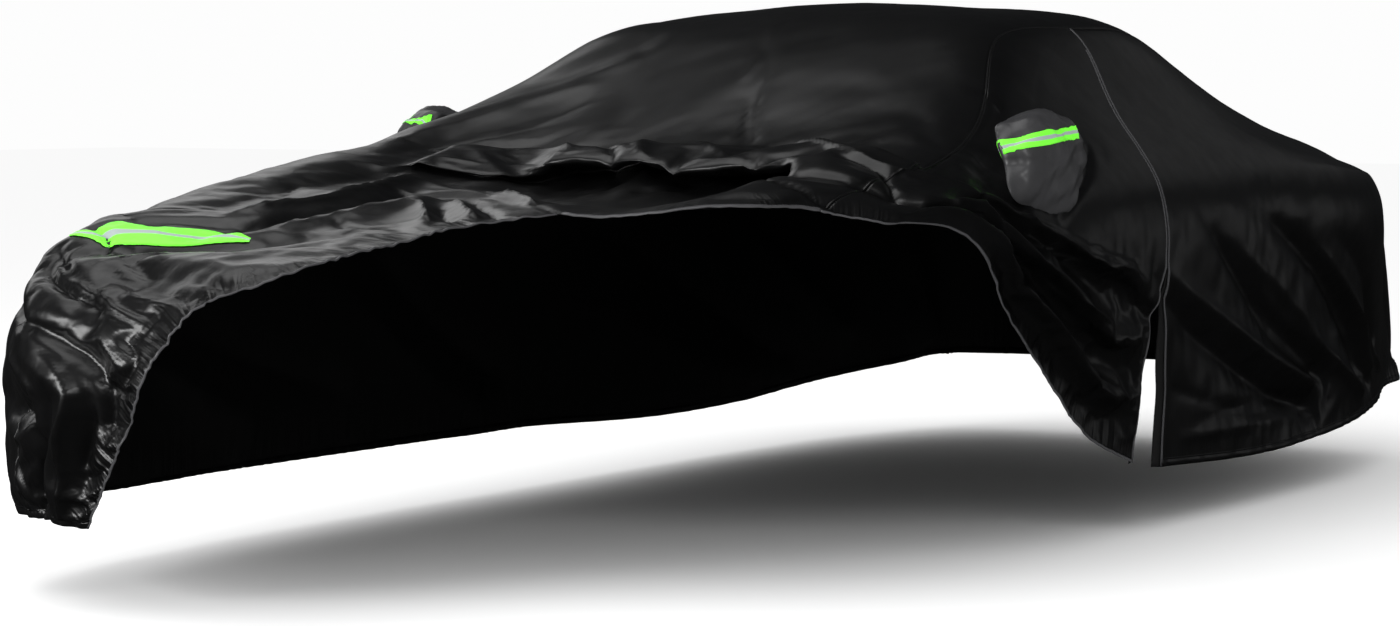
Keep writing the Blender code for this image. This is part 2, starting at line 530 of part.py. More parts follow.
def mirror_strip_grid(side, along=18, across=3):
    """A band over a pocket's front, from the seam round to the tip's rear."""
    middle = curve_through(MIRROR_STRIP, np.linspace(0, 1, along))
    away = middle - POCKET_RINGS[0][:3]
    middle += away / np.linalg.norm(away, axis=1, keepdims=True) * MIRROR_STRIP_WIDTH / 2
    middle[:, 0] = side * (middle[:, 0] + POCKET_SHIFT[side])
    rises = np.linspace(-0.5, 0.5, across) * MIRROR_STRIP_WIDTH
    grid = middle[None] + rises[:, None, None] * [0, 0, 1]
    return grid if side > 0 else grid[:, ::-1]


def zip_tape_grid(edge, inner, opening):
    """A tape under a panel's edge, from below the panel out past the edge. Opening is 0 shut, 1 open."""
    back = inner - edge
    back /= np.linalg.norm(back, axis=1, keepdims=True)
    along = np.gradient(edge, axis=0)
    along /= np.linalg.norm(along, axis=1, keepdims=True)
    normal = np.cross(along, back)
    normal /= np.linalg.norm(normal, axis=1, keepdims=True)
    normal *= np.sign(normal[:, :1])
    depth = CLOTH + 0.003
    out = (ZIP_GAP / 2 - 0.0006) * (1 - opening) + TAPE_OPEN * opening
    under = edge + back * ZIP_TAPE - normal * depth
    middle = edge - normal * depth
    free = edge - back * out[:, None] - normal * (depth + 0.012 * opening[:, None])
    return np.array([under, middle, free])


def build():
    for obj in list(bpy.data.objects):
        bpy.data.objects.remove(obj)
    parts = bpy.data.collections.new("car_cover")
    cutters = bpy.data.collections.new("cutters")
    for collection in (parts, cutters):
        bpy.context.scene.collection.children.link(collection)

    cloth = material("coated_black_cloth", (0.012, 0.012, 0.013), 0.38)
    pocket_cloth = material("coated_charcoal_cloth", (0.035, 0.035, 0.036), 0.42)
    reflective = material("lime_reflective_tape", (0.15, 0.86, 0.04), 0.45)
    tape = material("woven_zip_tape", (0.006, 0.006, 0.006), 0.85)

    top = top_panel_grid()
    right = side_right_grid()
    front = side_left_front_grid()
    rear = side_left_rear_grid()

    seam_rows = len(FRONT_ROWS) - 1
    bare = top[seam_rows:]
    pull_in(top, column=0)
    pull_in(bare, column=-1)
    pull_in(right, column=-1)
    pull_in(front, column=0)
    pull_in(front, column=-1, by=ZIP_GAP / 2)
    pull_in(rear, column=0)
    pull_in(rear, row=0, by=ZIP_GAP / 2)

    top_panel = sheet("top_panel", top, parts, CLOTH, cloth)
    side_right = sheet("side_right", right, parts, CLOTH, cloth)
    side_left_front = sheet("side_left_front", front, parts, CLOTH, cloth)
    sheet("side_left_rear", rear, parts, CLOTH, cloth)

    for side, panel, word in ((1, side_left_front, "left"), (-1, side_right, "right")):
        cut(panel, pocket_hole(side, cutters))
        pocket = sheet(f"mirror_pocket_{word}", pocket_grid(side), parts, CLOTH, pocket_cloth, closed=True)
        reflective_strip(f"strip_mirror_{word}", mirror_strip_grid(side), pocket, parts, reflective)
    reflective_strip("strip_front_right", front_strip_grid(), top_panel, parts, reflective)

    front_edge, front_inner = front[:-1, -1], front[:-1, -2]
    opening = np.clip((len(BUNCH_ROWS) - 1 - np.arange(len(front_edge))) / 6, 0, 1)
    sheet("zip_tape_front", zip_tape_grid(front_edge, front_inner, opening), parts, STRIP_THICK, tape)
    opening = np.clip((np.linspace(1, HEM, rear.shape[1]) - ZIP_FOOT) / 0.25, 0, 1)
    sheet("zip_tape_rear", zip_tape_grid(rear[0], rear[1], opening)[::-1], parts, STRIP_THICK, tape)


build()
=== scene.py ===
# %% [markdown]
# # A fitted cover of coated black cloth
# The real thing is four large panels of thin coated cloth, sewn together along the edges of the roof and
# shut by a long zip on the left side, with two sewn-on mirror pockets and reflective strips. It hangs over
# a form that isn't built here, so the cloth alone has to tell the shape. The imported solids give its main
# folds. Here each panel is made again as a much finer sheet with its creases, hems, seams and finish.

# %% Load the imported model
import math

import bmesh
import bpy
import numpy as np
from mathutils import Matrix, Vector
from mathutils.kdtree import KDTree


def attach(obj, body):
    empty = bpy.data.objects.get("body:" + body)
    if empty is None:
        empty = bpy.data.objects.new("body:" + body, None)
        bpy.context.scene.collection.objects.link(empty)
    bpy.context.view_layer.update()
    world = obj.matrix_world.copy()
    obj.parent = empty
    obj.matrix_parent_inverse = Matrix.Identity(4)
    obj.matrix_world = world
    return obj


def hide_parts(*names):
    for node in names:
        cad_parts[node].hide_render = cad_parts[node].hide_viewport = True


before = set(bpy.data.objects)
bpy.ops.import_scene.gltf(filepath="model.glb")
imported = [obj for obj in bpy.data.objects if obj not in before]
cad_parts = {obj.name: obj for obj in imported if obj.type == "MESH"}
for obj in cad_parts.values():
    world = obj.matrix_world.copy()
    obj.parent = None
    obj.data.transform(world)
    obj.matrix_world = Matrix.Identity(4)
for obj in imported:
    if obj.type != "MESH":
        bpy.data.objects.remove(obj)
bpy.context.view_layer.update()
MM = 0.001

# %% [markdown]
# ## Where things are
# The origin is just under the roof, 2.70 m behind the nose and 1.371 m above the ground. It is easier to
# place cloth by its distance from the nose and its height over the ground, so points are made as (x, s, z),
# with x to the cover's left, and one function moves them into the frame of the solids.

# %% The cover's own measures
ROOF_BACK = 2.70
ROOF_HEIGHT = 1.371


def in_frame(points):
    """Points (x, s, z) from the nose and the ground, measured from the origin under the roof."""
    return np.asarray(points, float) - [0, ROOF_BACK, ROOF_HEIGHT]


# %% [markdown]
# ## Camera
# The photograph was taken from low down and far off to the cover's left front, with a lens of about 85 mm.
# Those numbers were found by matching known heights and widths, so the camera only has to be put there.

# %% Put the camera where the photographer stood
CAMERA_PLACE = (4.646, -5.245, 1.14)  # x, distance from the nose, height
CAMERA_TURN = 33.18  # degrees to the left of looking straight along the cover
CAMERA_DIP = 3.89  # degrees below the level
LENS, SENSOR = 85.53, 36  # mm

camera_data = bpy.data.cameras.new("camera")
camera = bpy.data.objects.new("camera", camera_data)
bpy.context.scene.collection.objects.link(camera)
camera_data.sensor_fit = "HORIZONTAL"
camera_data.sensor_width = SENSOR
camera_data.lens = LENS
camera.location = in_frame(CAMERA_PLACE)
camera.rotation_euler = (math.radians(90 - CAMERA_DIP), 0, math.radians(CAMERA_TURN))
bpy.context.scene.camera = camera
print("camera at", [round(v, 3) for v in camera.location])

# %% [markdown]
# ## Colours and nodes
# Colours are written as sRGB hex values, as a paint program shows them, and Blender wants them linear. One
# function turns them. Another adds any node with its settings and links, so each material reads as a list.

# %% Two helpers for every finish
def linear(hex_colour):
    """An sRGB hex colour as the linear red, green, blue and alpha that Blender uses."""
    srgb = np.array([int(hex_colour[i : i + 2], 16) for i in (1, 3, 5)]) / 255
    value = np.where(srgb <= 0.04045, srgb / 12.92, ((srgb + 0.055) / 1.055) ** 2.4)
    return (*(float(v) for v in value), 1.0)


def add(tree, kind, settings=(), **inputs):
    """A node with its settings, and its inputs given as values or as the outputs that feed them."""
    node = tree.nodes.new(kind)
    for name, value in dict(settings).items():
        setattr(node, name, value)
    for name, value in inputs.items():
        key = int(name[1:]) if name[0] == "i" and name[1:].isdigit() else name.replace("_", " ")
        socket = node.inputs[key]
        if isinstance(value, bpy.types.NodeSocket):
            tree.links.new(value, socket)
        else:
            socket.default_value = value
    return node


def new_material(name):
    """An empty material with its node tree, ready for a shader."""
    made = bpy.data.materials.new(name)
    made.use_nodes = True
    made.node_tree.nodes.clear()
    return made, made.node_tree


print("black cloth in linear light:", [round(v, 4) for v in linear("#060606")[:3]])

# %% [markdown]
# ## Studio
# Glossy black cloth is drawn almost wholly by what it reflects. Large soft lights give it broad grey
# highlights, and a dim surrounding keeps the folds between them dark. The camera itself sees a pale
# backdrop.

# %% Floor, backdrop and soft lights
floor_paint, tree = new_material("matt_pale_floor_paint")
ray = add(tree, "ShaderNodeLightPath")
paint = add(tree, "ShaderNodeBsdfDiffuse", Color=linear("#fbfbfb"))
dull = add(tree, "ShaderNodeBsdfDiffuse", Color=linear("#1a1a1a"))
paint = add(tree, "ShaderNodeMixShader", i0=ray.outputs["Is Glossy Ray"],
            i1=paint.outputs[0], i2=dull.outputs[0])
add(tree, "ShaderNodeOutputMaterial", Surface=paint.outputs[0])
bpy.ops.mesh.primitive_plane_add(size=80, location=(0, 0, -ROOF_HEIGHT))
floor = bpy.context.object
floor.name = "floor"
floor.data.materials.append(floor_paint)

world = bpy.data.worlds.new("studio")
bpy.context.scene.world = world
world.use_nodes = True
world.node_tree.nodes.clear()
ray = add(world.node_tree, "ShaderNodeLightPath")
backdrop = add(world.node_tree, "ShaderNodeBackground", Color=linear("#fdfdfd"), Strength=1.0)
dark_room = add(world.node_tree, "ShaderNodeBackground", Color=linear("#e6eaf0"), Strength=0.023)
mix = add(world.node_tree, "ShaderNodeMixShader", i0=ray.outputs["Is Glossy Ray"],
          i1=backdrop.outputs[0], i2=dark_room.outputs[0])
add(world.node_tree, "ShaderNodeOutputWorld", Surface=mix.outputs[0])

SOFT_LIGHTS = [
    # name      place (x, s, z)      aimed at            width height watts
    ("over",    (-1.2, 0.6, 5.0),    (-0.4, 1.2, 0.8),   5.0,  3.2,   72),
    ("front",   (-3.0, -4.5, 2.4),   (-0.4, 0.4, 0.5),   3.0,  2.0,   230),
    ("corner",  (3.4, -3.6, 4.2),    (0.0, 1.0, 0.7),    2.0,  1.2,   60),
    ("left",    (5.6, 9.6, 1.4),     (0.9, 3.4, 0.6),    3.2,  2.2,   5),
    ("rear",    (2.0, 10.0, 4.4),    (0.0, 4.4, 0.8),    5.0,  2.4,   4),
    ("right",   (-5.4, 3.2, 3.2),    (-0.6, -0.6, 0.5),  5.0,  2.4,   42),
]
for name, place, aim, width, height, watts in SOFT_LIGHTS:
    lamp = bpy.data.lights.new(name, "AREA")
    lamp.shape = "RECTANGLE"
    lamp.size, lamp.size_y, lamp.energy = width, height, watts
    light = bpy.data.objects.new(name, lamp)
    bpy.context.scene.collection.objects.link(light)
    light.location = in_frame(place)
    light.rotation_euler = Vector(in_frame(aim) - in_frame(place)).to_track_quat("-Z", "Y").to_euler()
bpy.context.scene.view_settings.view_transform = "Standard"
print("lights:", len(SOFT_LIGHTS))

# %% [markdown]
# ## The smooth cover
# A fitted cover is cut to a form, so its smooth shape is a stack of half outlines from nose to tail. Each
# gives four places: on the middle line, on the roof seam, at the belt line and at the hem. A place on the
# cloth is then (station, girth): the row of the table, and the way round from -3 at the right hem to 3 at
# the left hem.

# %% Half outlines from nose to tail
STATIONS = [
    # name         middle s, z    seam x, s, z         belt x, s, z         hem x, s, z
    ("front_hem",  0.06, 0.180,  0.56, 0.10, 0.180,  0.765, 0.20, 0.180,  0.850, 0.34, 0.18),
    ("front_face", 0.00, 0.380,  0.58, 0.04, 0.380,  0.822, 0.21, 0.370,  0.915, 0.60, 0.17),
    ("nose",       0.00, 0.600,  0.60, 0.06, 0.600,  0.843, 0.26, 0.570,  0.942, 0.85, 0.17),
    ("nose_lip",   0.11, 0.720,  0.62, 0.16, 0.715,  0.880, 0.42, 0.690,  0.965, 1.05, 0.17),
    ("front_top",  0.45, 0.795,  0.66, 0.48, 0.795,  0.905, 0.72, 0.745,  0.970, 1.22, 0.17),
    ("mid_top",    0.85, 0.845,  0.70, 0.90, 0.860,  0.930, 1.05, 0.795,  0.975, 1.42, 0.17),
    ("back_top",   1.35, 0.900,  0.76, 1.35, 0.915,  0.950, 1.40, 0.835,  0.980, 1.65, 0.17),
    ("slope_foot", 1.65, 0.970,  0.80, 1.68, 0.965,  0.965, 1.72, 0.860,  0.980, 1.88, 0.17),
    ("slope_mid",  1.98, 1.140,  0.72, 2.05, 1.105,  0.970, 1.98, 0.875,  0.980, 2.08, 0.17),
    ("roof_front", 2.32, 1.320,  0.60, 2.35, 1.270,  0.970, 2.25, 0.880,  0.980, 2.28, 0.17),
    ("zip",        2.68, 1.372,  0.61, 2.72, 1.300,  0.965, 2.54, 0.880,  0.980, 2.47, 0.17),
    ("roof_rear",  3.15, 1.355,  0.60, 3.15, 1.275,  0.960, 3.05, 0.890,  0.980, 2.95, 0.15),
    ("back_slope", 3.60, 1.235,  0.60, 3.62, 1.130,  0.955, 3.55, 0.905,  0.980, 3.45, 0.15),
    ("deck_front", 4.05, 1.075,  0.62, 4.08, 1.005,  0.935, 4.00, 0.885,  0.962, 3.90, 0.18),
    ("deck_rear",  4.48, 0.970,  0.64, 4.45, 0.930,  0.845, 4.30, 0.840,  0.905, 4.20, 0.21),
    ("tail",       4.70, 0.845,  0.62, 4.64, 0.815,  0.785, 4.50, 0.710,  0.845, 4.40, 0.23),
    ("rear_face",  4.76, 0.550,  0.60, 4.70, 0.530,  0.760, 4.60, 0.480,  0.840, 4.54, 0.24),
    ("rear_hem",   4.70, 0.250,  0.60, 4.66, 0.250,  0.720, 4.62, 0.250,  0.780, 4.58, 0.25),
]
REAR = len(STATIONS) - 1
ZIP_STATION = 10  # the row of STATIONS that the zip's top lies on
HEM = 3.0  # girth of both hems
GIRTH = np.linspace(-HEM, HEM, 49)
OVER_THE_TOP = slice(8, 41, 8)  # girths -2, -1, 0, 1 and 2, along which the stations' distance is measured
CROWN = [0.55, 0.25, 0.22]  # the way from the middle line to the seam, in x, s and z, at which the roof bends
SKIRT, SKIRT_OUT = 0.52, 0.012  # the way from belt to hem at which the side bulges, and by how much


def spline_weights(knots, at):
    """How much each knot's value counts at each place, on the natural cubic curve through them."""
    count, gaps = len(knots), np.diff(knots)
    curve, bend = np.eye(count), np.zeros((count, count))
    for i in range(1, count - 1):
        before, after = gaps[i - 1], gaps[i]
        curve[i, i - 1 : i + 2] = before, 2 * (before + after), after
        bend[i, i - 1 : i + 2] = 6 / before, -6 / before - 6 / after, 6 / after
    second = np.linalg.solve(curve, bend)
    span = np.clip(np.searchsorted(knots, at, side="right") - 1, 0, count - 2)
    gap = gaps[span][:, None]
    right = (at - knots[span])[:, None] / gap
    left = 1 - right
    ends = np.eye(count)
    arch = (left**3 - left) * second[span] + (right**3 - right) * second[span + 1]
    return left * ends[span] + right * ends[span + 1] + arch * gap**2 / 6


def curve_through(points, at):
    """Places at 0 to 1 along the smooth curve through a few points."""
    points = np.array(points, float)
    chord = np.linalg.norm(np.diff(points, axis=0), axis=1)
    knots = np.concatenate([[0], np.cumsum(chord)]) / chord.sum()
    return spline_weights(knots, np.asarray(at, float)) @ points


def half_outline(row):
    """One station's seven points from the middle line down to the left hem."""
    _, s, z, *rest = row
    middle = np.array([0, s, z])
    seam, belt, hem = np.reshape(rest, (3, 3))
    crown = middle + (seam - middle) * CROWN
    skirt = belt * (1 - SKIRT) + hem * SKIRT + [SKIRT_OUT, 0, 0]
    return np.array([middle, crown, seam, (seam + belt) / 2, belt, skirt, hem])


def station_net():
    """Every station's outline as evenly numbered points from hem to hem."""
    net = []
    for row in STATIONS:
        half = half_outline(row)
        whole = np.vstack([half[:0:-1] * [-1, 1, 1], half])
        chord = np.linalg.norm(np.diff(whole, axis=0), axis=1)
        knots = np.concatenate([[0], np.cumsum(chord)])
        at = np.interp(GIRTH, np.linspace(-HEM, HEM, 13), knots)
        net.append(spline_weights(knots, at) @ whole)
    return np.array(net)


NET = station_net()
STEPS = np.linalg.norm(np.diff(NET[:, OVER_THE_TOP], axis=0), axis=2).mean(axis=1)
ALONG = np.concatenate([[0], np.cumsum(STEPS)])  # metres from the front hem to each station
print("from front hem to rear hem over the roof: %.2f m" % ALONG[-1])

# %% [markdown]
# ## Points and normals of the smooth cover
# Between the stations the shape is a smooth spline both ways. It is a sum of weights times the net's
# points, so any number of places is worked out in one go. Everything else on the cover is placed with these
# two.

# %% Points and normals at any place
CHUNKS = 40  # worked out in parts, which takes less memory


def body_points(places):
    """Points of the smooth cover, before any fold, at (station, girth) places."""
    along = spline_weights(ALONG, np.interp(places[:, 0], np.arange(REAR + 1), ALONG))
    across = spline_weights(GIRTH, np.clip(places[:, 1], -HEM, HEM))
    chunks = [np.einsum("ni,nj,ijk->nk", a, c, NET, optimize=True)
              for a, c in zip(np.array_split(along, CHUNKS), np.array_split(across, CHUNKS))]
    return np.vstack(chunks)


def outward(places, step=0.02):
    """Unit normals of the smooth cover."""
    ahead, behind = places - [step, 0], places + [step, 0]
    right, left = places - [0, step], places + [0, step]
    ahead[:, 0] = np.maximum(ahead[:, 0], 0)
    behind[:, 0] = np.minimum(behind[:, 0], REAR)
    back = body_points(behind) - body_points(ahead)
    normal = np.cross(body_points(left) - body_points(right), back)
    return normal / np.linalg.norm(normal, axis=1, keepdims=True)


# %% [markdown]
# ## Loose folds
# Slack cloth hangs in long ridges and troughs. Each is a path on the cover, with its height along the path,
# and a rounded cross-section that dies away to both sides. They are the same folds as on the solids.

# %% The main folds
FOLDS = [
    # name              path                                                        heights       width crest
    ("side_tent",      [(2.9, -1.12), (5.2, -1.02), (7.2, -0.98), (9.2, -0.95)],  (26, 62, 50, 24), 170, 150),
    ("nose_tent",      [(2.9, -1.75), (3.3, -1.20), (3.9, -0.95)],                  (10, 14),         90, 40),
    ("top_ridge",      [(4.2, -0.55), (4.9, -0.42), (5.4, -0.30)],                  (16, 20),         55, 20),
    ("top_trough",     [(4.3, -0.74), (5.1, -0.76), (5.8, -0.66)],                  (-12, -16),       45, 16),
    ("slope_ridge",    [(6.6, -0.92), (7.5, -0.76), (8.4, -0.48)],                  (16, 8),          50, 24),
    ("slope_trough",   [(6.7, -0.80), (7.2, -0.64), (7.9, -0.47)],                  (-9, -4),         40, 16),
    ("slope_crease",   [(8.7, -0.04), (8.0, 0.11), (7.25, 0.26)],                   (-4, -13),        34, 10),
    ("slope_drape",    [(8.6, 0.10), (7.9, 0.28), (7.3, 0.42)],                     (3, 7),           70, 30),
    ("corner_trough",  [(2.45, -1.73), (2.0, -0.90), (1.75, -0.53), (1.03, -0.50)], (-10, -24),       32, 10),
    ("corner_ridge",   [(1.73, -0.93), (1.42, -0.66), (1.1, -0.73), (0.1, -0.90)],  (20, 24),         28, 7),
    ("corner_hollow",  [(1.45, -1.02), (0.9, -0.97), (0.2, -1.12)],                 (-22, -20),       42, 14),
    ("corner_pocket",  [(1.3, -0.60), (0.9, -0.62), (0.35, -0.72)],                 (-18, -22),       30, 12),
    ("corner_dimple",  [(1.35, -2.1), (1.25, -1.45), (1.25, -0.92)],                (-26, -34, -20),  46, 12),
    ("corner_bulge",   [(0.35, -1.9), (0.35, -1.5), (0.35, -1.25)],                 (6, 10),          50, 40),
    ("lip_trough",     [(3.3, -1.05), (2.8, -0.78), (2.45, -0.52), (1.95, -0.22)],  (-16, -10),       26, 8),
    ("lip_ridge",      [(3.25, -0.85), (2.7, -0.60), (2.2, -0.34)],                 (14, 10),         26, 8),
    ("lip_fan",        [(3.3, -0.60), (3.0, -0.40), (2.6, -0.12)],                  (-10, -8),        22, 8),
    ("side_sweep",     [(3.2, -2.1), (4.6, -2.45), (6.2, -2.75)],                   (14, 26),         60, 18),
    ("side_hollow",    [(2.4, -2.1), (3.4, -2.45), (4.6, -2.80)],                   (-12, -28),       60, 20),
    ("right_swag",     [(6.8, -2.1), (7.9, -2.5), (9.6, -2.8)],                     (10, 26),         55, 14),
    ("right_hollow",   [(6.4, -2.3), (7.4, -2.66), (8.8, -2.9)],                    (-10, -26),       50, 16),
    ("right_rear",     [(10.6, -2.2), (11.8, -2.55), (13.0, -2.88)],                (8, 24),          48, 12),
    ("right_rear_low", [(10.4, -2.4), (11.3, -2.7), (12.5, -2.9)],                  (-8, -28),        52, 16),
    ("right_corner",   [(11.9, -2.2), (12.9, -2.5), (13.8, -2.8)],                  (-8, -30),        50, 14),
    ("rear_ridge",     [(9.98, 2.32), (10.8, 2.49), (11.5, 2.64), (12.2, 2.78)],    (8, 30),          44, 9),
    ("rear_trough",    [(10.1, 2.42), (10.9, 2.62), (11.5, 2.76), (12.3, 2.88)],    (-16, -36),       50, 14),
    ("panel_trough",   [(10.5, 2.12), (11.0, 2.34), (11.5, 2.52), (12.4, 2.76)],    (-10, -32),       38, 10),
    ("panel_ridge",    [(10.8, 2.22), (11.6, 2.44), (12.3, 2.66), (13.1, 2.90)],    (8, 26),          38, 9),
    ("broad_trough",   [(11.1, 2.12), (11.8, 2.30), (12.5, 2.50), (13.25, 2.86)],   (-14, -40),       50, 12),
    ("arch_ridge",     [(11.95, 2.28), (12.5, 2.42), (12.95, 2.56), (13.5, 2.82)],  (8, 22),          24, 5),
    ("arch_trough",    [(12.2, 2.26), (13.0, 2.44), (13.7, 2.72)],                  (-10, -28),       30, 8),
    ("tail_swag",      [(15.2, 1.6), (15.7, 0.6), (15.6, -0.5)],                    (8, 12),          60, 24),
    ("tail_hollow",    [(15.9, 1.5), (16.4, 0.5), (16.3, -0.7)],                    (-10, -12),       55, 20),
    ("tail_side",      [(14.3, 2.1), (15.1, 2.4), (16.2, 2.7)],                     (-10, -20),       45, 14),
    ("tail_side_r",    [(14.3, -2.1), (15.1, -2.4), (16.2, -2.7)],                  (-10, -20),       45, 14),
]
SLACK = 3.0  # mm of gentle unevenness over the whole cloth
FOLD_STEPS = 13  # points on a fold's path
FADE_IN, FADE_OUT, FADED = 0.15, 0.08, 0.25  # shares of a fold's length at its ends, and of its height there


def nearest_on(path, points):
    """Distance from each point to a line of points, and how far along the line its foot lies, 0 to 1."""
    best = np.full(len(points), np.inf)
    share = np.zeros(len(points))
    for i, (start, end) in enumerate(zip(path, path[1:])):
        edge = end - start
        along = np.clip((points - start) @ edge / (edge @ edge), 0, 1)
        away = np.linalg.norm(points - start - along[:, None] * edge, axis=1)
        closer = away < best
        best[closer] = away[closer]
        share[closer] = (i + along[closer]) / (len(path) - 1)
    return best, share


def fold_heights(points, table, reach=6):
    """How far the folds of a table lift the cloth off the smooth cover, in metres."""
    lift = np.zeros(len(points))
    for _, path, heights, width, crest in table:
        line = body_points(curve_through(path, np.linspace(0, 1, FOLD_STEPS)))
        margin = (reach * width + crest) * MM
        near = np.all((points > line.min(axis=0) - margin) & (points < line.max(axis=0) + margin), axis=1)
        away, share = nearest_on(line, points[near])
        fall = np.exp((crest - np.hypot(away / MM, crest)) / width)
        fade = np.clip(share / FADE_IN, 0, 1) * np.clip((1 - share) / FADE_OUT, 0, 1) ** 0.5
        height = np.interp(share, np.linspace(0, 1, len(heights)), heights)
        lift[near] += height * MM * fall * (FADED + (1 - FADED) * fade)
    return lift


def slack_heights(points):
    """The gentle unevenness of cloth that lies on a form without being stretched."""
    x, s, z = points.T
    return SLACK * MM * (np.sin(9 * s + 5 * x + 7 * z) + np.sin(13 * x - 6 * s + 4 * z + 1)) / 2


print("main folds:", len(FOLDS))
